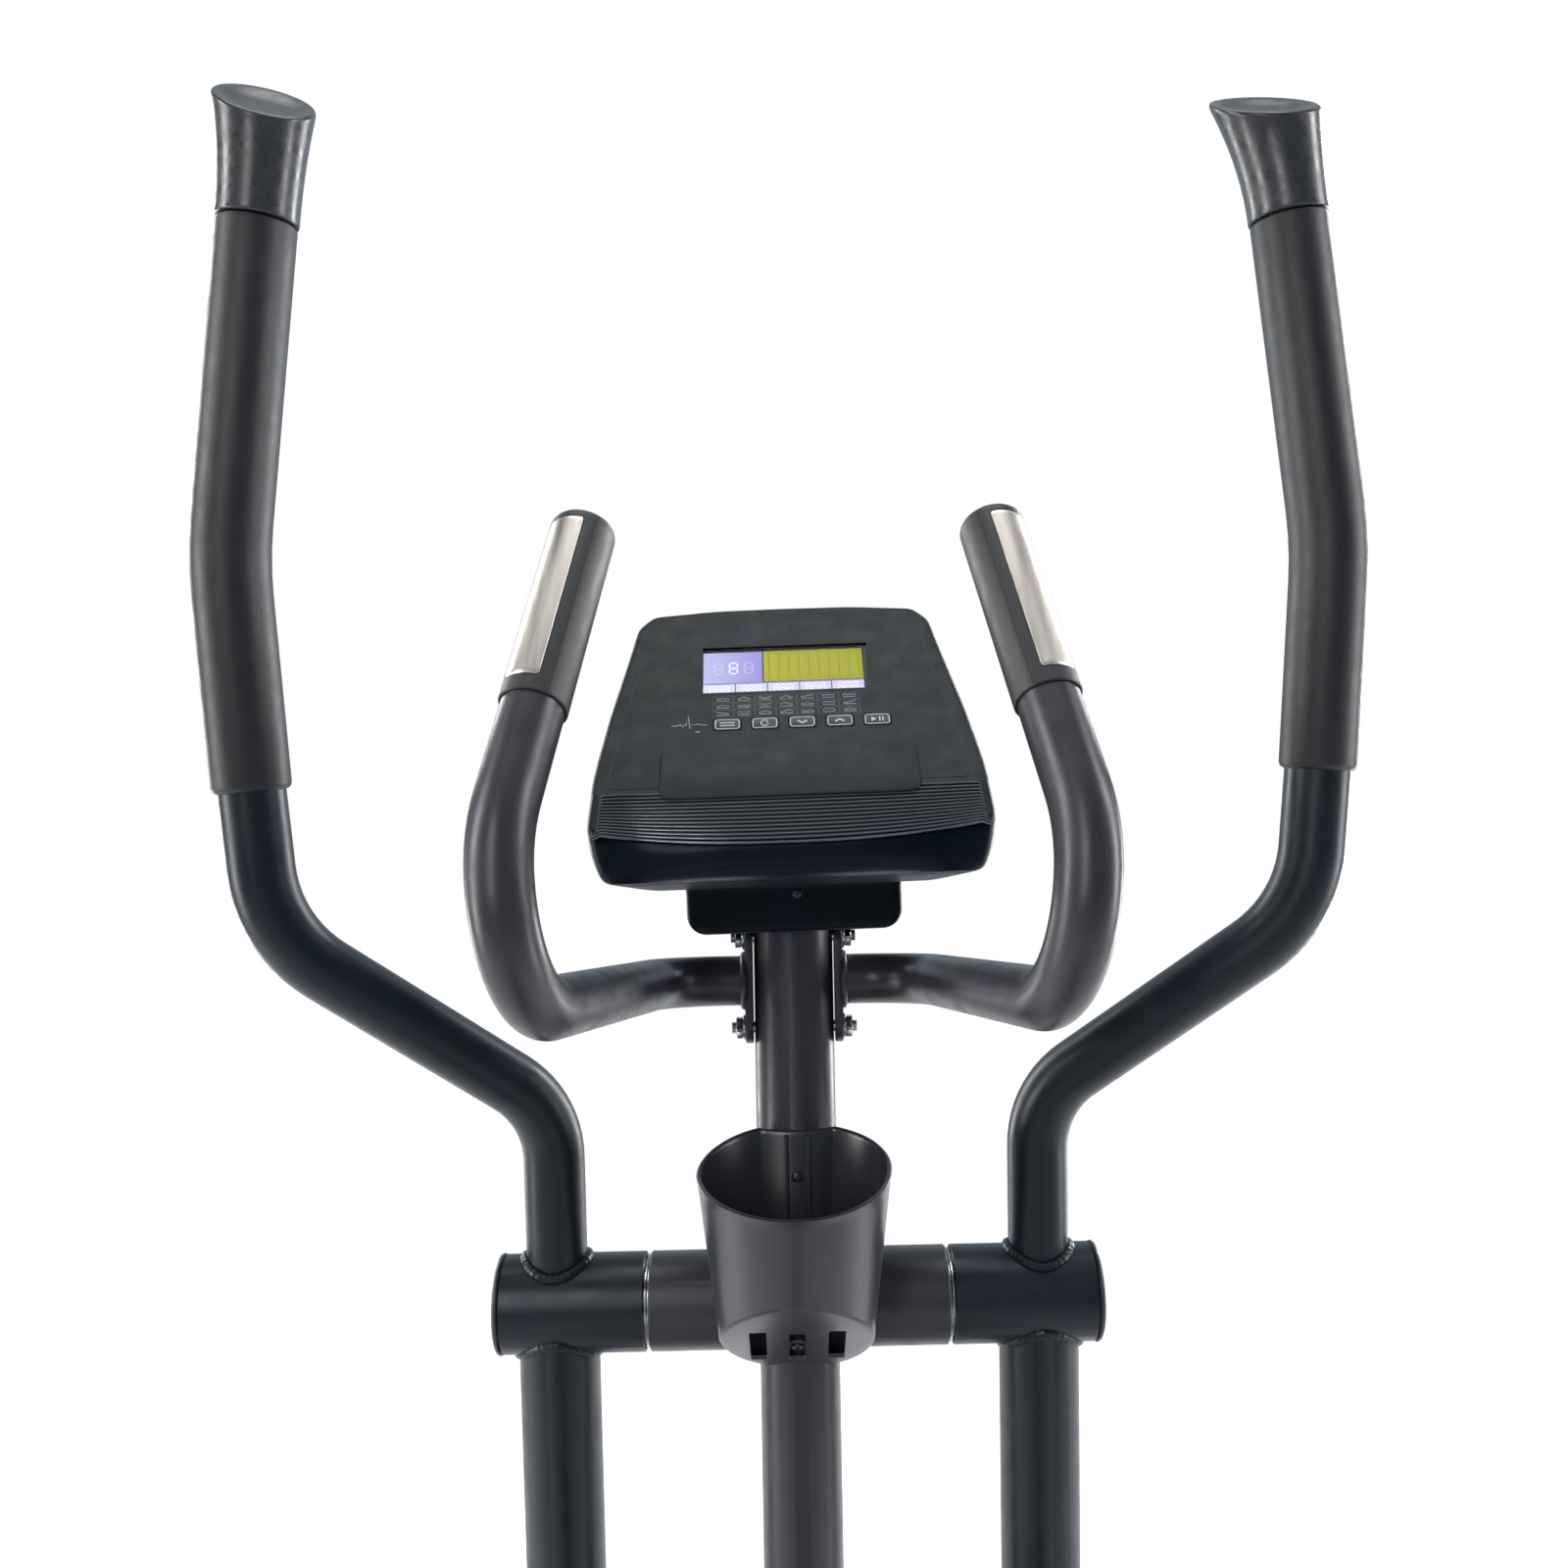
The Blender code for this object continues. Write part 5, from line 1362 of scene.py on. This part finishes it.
def build_keys():
    for name, x in zip(KEY_NAMES, KEY_X):
        outline = rounded(rectangle(x, KEY_UP, *grown(KEY_HALF, -0.0001)), 0.0020)
        key = prism(outline, -0.0034, 0.0006, on_face, 0.0002)
        body = f"{name}_button"
        piece(f"{name}_key_cap", key, "key", body, CONSOLE, [f"{name}_key"])
        half = grown(KEY_HALF, -0.0010)
        border = rounded_line(x, KEY_UP, *half, 0.0016, 0.00055, 0.00058, 0.00068)
        prints = together(border, *key_symbol(name, x))
        piece(f"{name}_key_print", prints, "print", body, CONSOLE)


def build_face_prints():
    """The program symbols under the display, and the pulse trace beside the keys."""
    low, high = 0.00026, 0.00034
    shapes, borders = [], []
    profiles = (
        (0, 2, 1, 3, 1, 2, 0), (0, 1, 2, 3, 2, 1, 0), (3, 2, 1, 0, 1, 2, 3), (0, 0, 2, 3, 2, 0, 0),
        (0, 1, 1, 2, 2, 3, 3), (3, 1, 3, 1, 3, 1, 3), (0, 3, 1, 2, 1, 3, 0), (1, 1, 2, 2, 2, 1, 1),
        (0, 2, 0, 2, 0, 2, 0), (2, 3, 2, 1, 2, 3, 2), (1, 2, 3, 3, 2, 1, 0), (0, 1, 0, 3, 0, 1, 0),
        (2, 2, 2, 2, 2, 2, 2), (0, 0, 1, 1, 2, 3, 3), (3, 2, 2, 1, 1, 0, 0), (1, 3, 1, 3, 1, 3, 1),
        (0, 1, 2, 2, 2, 1, 0), (1, 0, 1, 2, 3, 2, 1), (2, 1, 0, 1, 2, 1, 0), (0, 2, 3, 2, 3, 2, 0),
        (1, 1, 1, 3, 1, 1, 1),
    )
    for index, profile in enumerate(profiles):
        column, row = index % 7, index // 7
        x, up = -0.0372 + 0.0123 * column, 0.0706 - 0.0059 * row
        borders.append(rounded_line(x, up, 0.0058, 0.0027, 0.0006, 0.00016, low, high - 0.00003))
        first_x, base = x - 0.0039, up - 0.0001
        points = [(first_x + 0.0013 * i, base + 0.00050 * rise) for i, rise in enumerate(profile)]
        shapes.append(ribbon(points, 0.00040, low, high))
        points = [(x - 0.0036, up - 0.0012), (x + 0.0036, up - 0.0012)]
        shapes.append(ribbon(points, 0.00042, low, high))
    trace = [
        (-0.0668, 0.0), (-0.0630, 0.0), (-0.0618, 0.0010), (-0.0604, -0.0008), (-0.0594, 0.0),
        (-0.0584, 0.0006), (-0.0574, 0.0076), (-0.0560, -0.0032), (-0.0549, 0.0014), (-0.0538, 0.0),
        (-0.0515, 0.0012), (-0.0500, 0.0), (-0.0462, 0.0),
    ]
    trace = [(x, KEY_UP + 0.0004 + dz) for x, dz in trace]
    shapes.append(ribbon(trace, 0.00045, low, high))
    dash = [(x, KEY_UP - 0.0050) for x in (-0.0530, -0.0502)]
    shapes.append(ribbon(dash, 0.0005, low, high))
    piece("face_program_symbols", together(*shapes), "symbol", "frame", CONSOLE)
    piece("face_symbol_cells", together(*borders), "faint", "frame", CONSOLE)


def build_neck_screw():
    place = CONSOLE @ Matrix.Translation((0.002, -0.0322, 0.2655))
    screw = pan_screw(0.0030, 0.0014, 0.0015, 0.006)
    piece("neck_screw", screw, "dark_bolt", "frame", place)


# Base


def rod_x(x0, x1, y, z, radius, count=48):
    return turned([(x0, radius), (x1, radius)], y, z, count)


def build_main_frame():
    top, lean = 0.1123, Vector((0, math.sin(LEAN), math.cos(LEAN)))

    def on_mast(height):
        return PIVOT - lean * (PIVOT.z - height) / lean.z

    section = rounded([(-0.025, 0.0623), (0.025, 0.0623), (0.025, top), (-0.025, top)], 0.005)
    beam = prism(section, -0.735, 0.702, lambda a, b, height: (a, height, b), 0.0012)
    bracket = [
        (CRANK.y, CRANK.z - 0.014), (CRANK.y, CRANK.z + 0.014), (-0.400, 0.356), (-0.411, 0.345),
        (-0.400, 0.334),
    ]
    y = FLYWHEEL.y
    frame = solid(
        beam,
        bar(on_mast(0.075), on_mast(0.200), 0.031, 72, 0.0012),
        block((-0.0155, CRANK.y - 0.022, top - 0.010), (0.0235, CRANK.y + 0.022, CRANK.z), 0.004),
        rod_x(-0.018, 0.045, CRANK.y, CRANK.z, 0.026, 56),
        block((-0.050, y - 0.020, top - 0.006), (0.050, y + 0.020, top + 0.0045), 0.003),
        block((0.046, y - 0.020, top - 0.003), (0.050, y + 0.020, 0.292), 0.001),
        block((-0.050, y - 0.020, top - 0.003), (-0.046, y + 0.020, 0.292), 0.001),
        prism(bracket, 0.0395, 0.0445, along_x),
        rod_x(0.004, 0.041, -0.400, 0.345, 0.005, 24),
    )
    frame = cut(
        frame,
        bar(on_mast(0.110), on_mast(0.215), MAST_R + 0.0006, 64),
        rod_x(-0.03, 0.06, CRANK.y, CRANK.z, 0.0133, 32),
        rod_x(-0.06, 0.06, FLYWHEEL.y, FLYWHEEL.z, 0.0053, 24),
    )
    piece("base_frame", frame, "paint", "frame", HERE, ["main_frame"])
    lines = []
    for angle in turns(200):
        x, along = 0.0316 * math.cos(angle), 0.0316 * math.sin(angle) / math.cos(LEAN)
        foot = on_mast(top)
        spot_x = max(-0.0247, min(0.0247, x))
        lines.append(Vector((spot_x, foot.y + along, top + 0.0004 - 0.9 * (abs(x) - abs(spot_x)))))
    piece("socket_weld", weld(lines, 0.0032, 30), "paint", "frame")


def build_stabilizers():
    for end, y, back, front in (("front", 0.680, 0.034, 0.052), ("rear", -0.716, 0.034, 0.034)):
        rod = bar((-0.240, y, 0.037), (0.240, y, 0.037), STABILIZER_R, 64)
        name = f"{end}_stabilizer"
        piece(f"{name}_tube", rod, "paint", "frame", HERE, [name])
        for side_name, side in SIDES.items():
            build_end_cap(f"{end}_{side_name}", side, y, back, front)
            if end == "front":
                build_wheel(side_name, side)


def cap_profile(y, reach_back, reach_front, grow=0.0):
    """A rounded section with a flat sole on the floor, in y and z."""
    back, front = y - reach_back, y + reach_front
    points = (
        (back, 0.0, 0.010), (front, 0.0, 0.012), (front, 0.034, 0.016), (y + 0.030, 0.052, 0.030),
        (y + 0.014, 0.068, 0.022), (y - 0.014, 0.068, 0.022), (back, 0.048, 0.026),
    )
    middle_y, middle_z = (back + front) / 2, 0.034
    result = []
    for a, b in outline_of(points, 7):
        a, b = a - middle_y, b - middle_z
        keep = 1 + grow / max(0.02, math.hypot(a, b))
        result.append((middle_y + a * keep, max(0.0, middle_z + b * keep)))
    return result


def build_end_cap(name, side, y, back, front):
    stations = (
        (0.210, -0.0012), (0.2104, -0.0004), (0.2115, 0.0), (0.2200, 0.0), (0.2206, -0.0010),
        (0.2222, -0.0010), (0.2228, 0.0), (0.262, 0.0), (0.2665, -0.0010), (0.2698, -0.0035),
        (0.2715, -0.0070), (0.272, -0.0110),
    )
    cap = lofted([
        [(side * x, a, b) for a, b in cap_profile(y, back, front, grow)] for x, grow in stations
    ])
    tools = [rod_x(side * 0.20, side * 0.2403, y, 0.037, STABILIZER_R + 0.0006, 48)]
    wheel_x, wheeled = side * WHEEL_X, name.startswith("front")
    if wheeled:
        low, high = (wheel_x - 0.0105, 0.698, -0.01), (wheel_x + 0.0105, 0.775, 0.08)
        tools.append(block(low, high, 0.003, 0.0))
    cap = cut(cap, *tools)
    piece(f"{name}_foot", cap, "moulded", "frame", HERE, [f"{name}_end_cap"], 40)
    ribs, x = [], side * 0.2722
    for k in range(4):
        z = 0.020 + 0.0075 * k
        low, high = (x - 0.0016, y - 0.012, z), (x - 0.0002, y + 0.012, z + 0.0022)
        ribs.append(block(low, high, 0.0006, 0.0003))
    piece(f"{name}_foot_ribs", together(*ribs), "moulded", "frame")
    if wheeled:
        pin = rod_x(wheel_x - 0.0115, wheel_x + 0.0115, *WHEEL_YZ, 0.0040, 24)
        piece(f"{name}_wheel_pin", pin, "zinc", "frame")


def build_wheel(side_name, side):
    half = [
        (0.0052, 0.0046), (0.0086, 0.0046), (0.0088, 0.0075), (0.0066, 0.0088), (0.0064, 0.0160),
        (0.0078, 0.0172), (0.0088, 0.0180), (0.0088, 0.0222), (0.0080, 0.0238), (0.0062, 0.0249),
        (0.0042, 0.0250), (0.0038, 0.0243), (0.0024, 0.0243), (0.0020, 0.0250),
    ]
    profile = half + [(-x, r) for x, r in reversed(half)]
    shape = turned([(side * WHEEL_X + x, r) for x, r in profile], *WHEEL_YZ, 72, loop=True)
    name = f"{side_name}_transport_wheel"
    piece(f"{name}_tyre", shape, "rubber", f"{side_name}_wheel", HERE, [name], 40)


# Drive housing and cranks

# Outline of the housing: y, z and corner radius
HOUSING_CORNERS = (
    (0.020, 0.1165, 0.012), (0.012, 0.230, 0.060), (-0.105, 0.470, 0.090), (-0.260, 0.520, 0.160),
    (-0.480, 0.490, 0.150), (-0.670, 0.350, 0.090), (-0.665, 0.1165, 0.012),
)
HOUSING_SCREWS = (
    (-0.012, 0.150), (-0.075, 0.395), (-0.245, 0.4830), (-0.470, 0.4450), (-0.625, 0.340),
    (-0.632, 0.150),
)
COLLAR = (
    (0.0590, 0.0225), (0.0608, 0.0225), (0.0612, 0.0232), (0.0612, 0.0300), (0.0606, 0.0310),
    (0.0590, 0.0310),
)


def shrunk(outline, inset):
    """The outline moved inwards along its own normals."""
    count, result = len(outline), []
    for i, (a, b) in enumerate(outline):
        before, after = Vector(outline[i - 1]), Vector(outline[(i + 1) % count])
        along = (after - before).normalized()
        result.append((a - along.y * inset, b + along.x * inset))
    return result


def build_housings():
    outline = outline_of(HOUSING_CORNERS, 4)
    ahead = outline[1:] + outline[:1]
    twice_area = sum(a * b2 - a2 * b for (a, b), (a2, b2) in zip(outline, ahead))
    if twice_area < 0:
        outline = outline[::-1]
    outline = dense(outline, 0.02)
    stations = [(0.0033, 0.0570), (0.0033, 0.00015), (0.0008, 0.00015), (0.0, 0.0010)]
    stations += [(0.0, 0.0440)]
    stations += [
        (0.012 * (1 - math.cos(a)), 0.0440 + 0.0160 * math.sin(a))
        for a in (math.pi / 2 * k / 9 for k in range(1, 10))
    ]
    stations += [(0.030, 0.0600), (0.032, 0.0594), (0.0350, 0.0592)]
    for side_name, side in SIDES.items():
        rings = [[(side * x, a, b) for a, b in shrunk(outline, inset)] for inset, x in stations]
        low, high = sorted((side * -0.01, side * 0.0545))
        shell = cut(
            lofted(rings),
            block((low, -0.545, 0.10), (high, -0.215, 0.1195), 0.004, 0.0),
            rod_x(side * 0.03, side * 0.08, CRANK.y, CRANK.z, 0.020, 48),
        )
        name = f"{side_name}_housing"
        piece(f"{name}_cover", shell, "moulded", "frame", HERE, [name], 30)
        screws = []
        turn = Matrix.Rotation(math.radians(90) * side, 4, "Z")
        for y, z in HOUSING_SCREWS:
            screw = pan_screw(0.0042, 0.0016, 0.0020, 0.004)
            screws.append(moved(screw, Matrix.Translation((side * 0.0594, y, z)) @ turn))
        screws = together(*screws)
        piece(f"{side_name}_housing_screws", screws, "dark_bolt", "frame")
        boss = turned([(side * x, r) for x, r in COLLAR], CRANK.y, CRANK.z, 72, loop=True)
        piece(f"{side_name}_crank_collar", boss, "moulded", "frame")


def build_discs():
    profile = (
        (0.0660, 0.0085), (0.0660, 0.2440), (0.0668, 0.2450), (0.0725, 0.2450), (0.0736, 0.2442),
        (0.0740, 0.2425), (0.0740, 0.2320), (0.0736, 0.2312), (0.0712, 0.2304), (0.0708, 0.2290),
        (0.0706, 0.1000), (0.0710, 0.0988), (0.0736, 0.0976), (0.0740, 0.0962), (0.0740, 0.0085),
    )
    for side_name, side in SIDES.items():

        def outwards(a, b, height, side=side):
            return (side * height, a, b)

        disc = turned([(side * x, r) for x, r in profile], CRANK.y, CRANK.z, 144, loop=True)
        name = f"{side_name}_crank_disc"
        piece(f"{name}_cover", disc, "moulded", "crank", HERE, [name], 30)
        spokes = []
        for turn in turns(10):
            angle, outline = turn + 0.22, []
            for radius, half in ((0.1020, 0.0045), (0.2270, 0.0075)):
                middle = Vector((math.cos(angle), math.sin(angle))) * radius
                across = Vector((-math.sin(angle), math.cos(angle))) * half
                pair = [middle - across, middle + across]
                outline += pair if not outline else pair[::-1]
            outline = rounded([(CRANK.y + p.x, CRANK.z + p.y) for p in outline], 0.003)
            spokes.append(prism(outline, 0.0704, 0.0722, outwards, 0.0006))
        piece(f"{side_name}_disc_spokes", together(*spokes), "moulded", "crank")


# Pedal arms and pedals


def pedal_place(side):
    y = PIVOT.y - ARM_LENGTH * math.sin(side * SWING)
    z = PIVOT.z - ARM_LENGTH * math.cos(side * SWING)
    angle = math.radians(16.185 if side < 0 else -4.774)
    return Matrix.Translation((side * ARM_X, y, z)) @ Matrix.Rotation(-angle, 4, "X")


def build_pedal_arm(side_name, side):
    place, length, body = pedal_place(side), 0.81762, f"{side_name}_pedal"
    nose = [
        (-0.110, -0.016, 0.002), (-0.020, -0.021, 0.040), (0.0, -0.023, 0.030),
        (0.014, -0.018, 0.014), (0.022, 0.0, 0.010),
    ]
    outline = nose + [(y, -z, r) for y, z, r in reversed(nose[:-1])]
    outline = outline_of(outline, 8)
    shapes = [
        prism(outline, -0.0325, -0.0275, along_x, 0.0008),
        prism(outline, 0.0275, 0.0325, along_x, 0.0008),
        block((-0.0285, -0.105, -0.015), (0.0285, -0.068, 0.015), 0.002),
        rod_x(-0.026, 0.026, -length, 0, 0.023, 56),
        rod_x(-side * 0.010, side * (0.0746 - ARM_X), -length, 0, 0.011, 40),
    ]
    arm = solid(bar((0, -0.062, 0), (0, -length, 0), PEDAL_ARM_R, 56), *shapes)
    arm = cut(arm, rod_x(-0.05, 0.05, 0, 0, 0.0066, 32))
    name = f"{side_name}_pedal_arm"
    piece(f"{name}_tube", arm, "arm_paint", body, place, [name])
    centres = []
    for angle in turns(200):
        z, x = 0.0192 * math.sin(angle), 0.0192 * math.cos(angle)
        centres.append(Vector((x, -length + math.sqrt(0.0232**2 - z * z), z)))
    bead = weld(centres, 0.0022, 34)
    piece(f"{side_name}_pin_weld", bead, "arm_paint", body, place)
    build_pedal_bolt(side_name, place, body)
    build_pedal(side_name, side, place, body)


def build_pedal_bolt(side_name, place, body):
    shapes = [rod_x(-0.0330, 0.0330, 0, 0, 0.0060, 32)]
    for sign in (-1, 1):
        shapes.append(hexagon([(sign * x, share) for x, share in PEDAL_BOLT_HEAD], 0.011))
    name = f"{side_name}_pedal_bolt"
    piece(f"{name}_hex", together(*shapes), "zinc", body, place, [name])


def build_pedal(side_name, side, place, body):
    low, high = sorted((side * -0.070, side * 0.080))
    rear, front, floor = -0.530, -0.190, 0.0193

    def outline(inset):
        half = grown(((high - low) / 2, (front - rear) / 2), -inset)
        radii = [max(0.004, r - inset) for r in (0.020, 0.020, 0.035, 0.035)]
        corners = rectangle((low + high) / 2, (rear + front) / 2, *half)
        return rounded(corners, radii, math.radians(6))

    def rim(y, lift=0.0):
        return floor + 0.022 + 0.020 * max(0.0, (y - rear) / (front - rear)) ** 2 + lift

    def level(inset, height):
        return [(x, y, height(y)) for x, y in outline(inset)]

    rings = [
        level(0.0065, lambda y: floor), level(0.0030, lambda y: floor + 0.0012),
        level(0.0008, lambda y: floor + 0.0042), level(0.0, lambda y: floor + 0.0080),
        level(0.0, lambda y: rim(y, -0.0016)), level(0.0006, lambda y: rim(y, -0.0005)),
        level(0.0018, rim), level(0.0042, rim), level(0.0054, lambda y: rim(y, -0.0005)),
        level(0.0060, lambda y: rim(y, -0.0016)), level(0.0072, lambda y: floor + 0.0135),
        level(0.0085, lambda y: floor + 0.0098), level(0.0110, lambda y: floor + 0.0080),
    ]
    tray = lofted(rings)
    name = f"{side_name}_pedal"
    piece(f"{name}_tray", tray, "tread", body, place, [name], 40)
    bars, rows, middle = [], 15, (low + high) / 2
    for k in range(rows):
        y = rear + 0.036 + (front - rear - 0.072) * k / (rows - 1)
        narrow = 0.030 if k in (0, rows - 1) else 0.019
        for x0, x1 in ((low + narrow, middle - 0.004), (middle + 0.004, high - narrow)):
            outline = rounded(rectangle((x0 + x1) / 2, y, (x1 - x0) / 2, 0.0042), 0.0035)
            bars.append(prism(outline, floor + 0.0078, floor + 0.0100, along_z, 0.0007))
    piece(f"{side_name}_pedal_tread", together(*bars), "tread", body, place)


# Pieces inside, whose CAD shapes stay


def finish_inner_pieces(nodes):
    finish = {
        "pivot_axle": "zinc", "left_pivot_bushing": "nylon", "right_pivot_bushing": "nylon",
        "console_board": "board", "console_cable": "cable", "crank_axle": "zinc",
        "drive_pulley": "moulded", "drive_belt": "rubber", "flywheel": "iron",
        "flywheel_axle": "zinc", "magnet_bracket": "paint", "tension_motor": "motor",
    }
    for name, look_name in finish.items():
        obj = nodes[name]
        for material_slot in obj.material_slots:
            material_slot.link = "OBJECT"
            material_slot.material = LOOK[look_name]
        if name in ("crank_axle", "magnet_bracket", "tension_motor", "drive_pulley"):
            soft_bevel(obj)


# Studio


def pale_floor():
    """A pale floor that fades into the white background. Its own glow lights nothing."""
    values = {"Base Color": (0.80, 0.80, 0.80, 1), "Roughness": 0.9}
    mat, tree, shader = new_material("pale_floor", values)
    glow = node(tree, "Emission", {"Strength": 0.42}).outputs[0]
    white = node(tree, "Emission", {"Strength": 1.0}).outputs[0]
    length = node(tree, "VectorMath", {0: node(tree, "TexCoord").outputs["Object"]})
    length.operation = "LENGTH"
    away = spread(tree, length.outputs["Value"], 0, 1, 1.4, 3.6)
    plain = shader.outputs[0]
    near = node(tree, "AddShader", {0: plain, 1: glow}).outputs[0]
    both = node(tree, "MixShader", {0: away, 1: near, 2: white}).outputs[0]
    seen = node(tree, "LightPath").outputs["Is Camera Ray"]
    shown = node(tree, "MixShader", {0: seen, 1: plain, 2: both}).outputs[0]
    link(tree, shown, tree.nodes["Material Output"].inputs["Surface"])
    return mat


def build_studio():
    """The floor, the white background, six soft lights, and a sky that is brighter ahead."""
    scene = bpy.context.scene
    scene.view_settings.view_transform = "Standard"
    corners = [(a, b, 0) for a, b in rectangle(0, 0, 30, 30)]
    floor = made("studio_floor", (corners, [(0, 1, 2, 3)]))
    floor.location.z = -ON_FLOOR
    floor.data.materials.append(pale_floor())
    world = bpy.data.worlds.new("studio")
    scene.world = world
    world.use_nodes = True
    tree = world.node_tree
    tree.nodes.clear()
    direction = node(tree, "SeparateXYZ", {0: node(tree, "TexCoord").outputs["Generated"]})
    strength = spread(tree, direction.outputs["Y"], 0.23, 0.70, 0.10, 0.85)
    cool = {"Color": (0.72, 0.88, 1.0, 1), "Strength": strength}
    soft = node(tree, "Background", cool).outputs[0]
    white = node(tree, "Background", {"Color": (1, 1, 1, 1)}).outputs[0]
    seen = node(tree, "LightPath").outputs["Is Camera Ray"]
    mix = node(tree, "MixShader", {0: seen, 1: soft, 2: white}).outputs[0]
    node(tree, "OutputWorld", {"Surface": mix})
    lights = (
        ("key", (-0.9, -2.0, 2.4), (0.7, 2.0), 26, (1.0, 0.99, 0.98)),
        ("left", (-2.2, 0.15, 1.6), (0.5, 2.8), 56, (1.0, 0.985, 0.965)),
        ("right", (2.2, 0.45, 1.6), (0.5, 2.8), 50, (0.98, 0.99, 1.0)),
        ("rear_left", (-2.1, 2.5, 1.5), (0.5, 2.8), 60, (1.0, 0.99, 0.98)),
        ("rear_right", (2.1, 2.5, 1.5), (0.5, 2.8), 85, (0.99, 0.99, 1.0)),
        ("top", (0.0, 0.6, 3.4), (1.8, 1.2), 24, (1.0, 1.0, 1.0)),
    )
    target = Vector((0, 0.4, 1.15))
    for name, place, size, power, colour in lights:
        data = bpy.data.lights.new(name, "AREA")
        data.shape, data.size, data.size_y = "RECTANGLE", *size
        data.energy, data.color = power, colour
        light = bpy.data.objects.new(name, data)
        light.location = place
        light.rotation_euler = (target - Vector(place)).to_track_quat("-Z", "Y").to_euler()
        scene.collection.objects.link(light)


def build_camera():
    """The camera of the photograph: yaw to the right, pitch down and roll."""
    place, shift = (-0.005, -0.3706, 1.3096), -0.0154
    yaw, pitch, roll = math.radians(1.0), math.radians(3.817), math.radians(0.920)
    data = bpy.data.cameras.new("photo_camera")
    data.sensor_width, data.lens, data.shift_x = 36.0, 33.75, shift
    camera = bpy.data.objects.new("photo_camera", data)
    level = math.cos(pitch)
    forward = Vector((math.sin(yaw) * level, math.cos(yaw) * level, -math.sin(pitch)))
    turn = forward.to_track_quat("-Z", "Y").to_matrix().to_4x4() @ Matrix.Rotation(-roll, 4, "Z")
    camera.matrix_world = Matrix.Translation(place) @ turn
    bpy.context.scene.collection.objects.link(camera)
    bpy.context.scene.camera = camera


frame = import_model()
LOOK.update(finishes())
for side_name, side in SIDES.items():
    build_arm(side_name, side)
    build_pulse_bar(side_name, side)
    build_pedal_arm(side_name, side)
build_mast()
build_cup()
build_cup_screws()
build_pulse_bolts()
build_console()
build_main_frame()
build_stabilizers()
build_housings()
build_discs()
finish_inner_pieces(frame["nodes"])
build_studio()
build_camera()
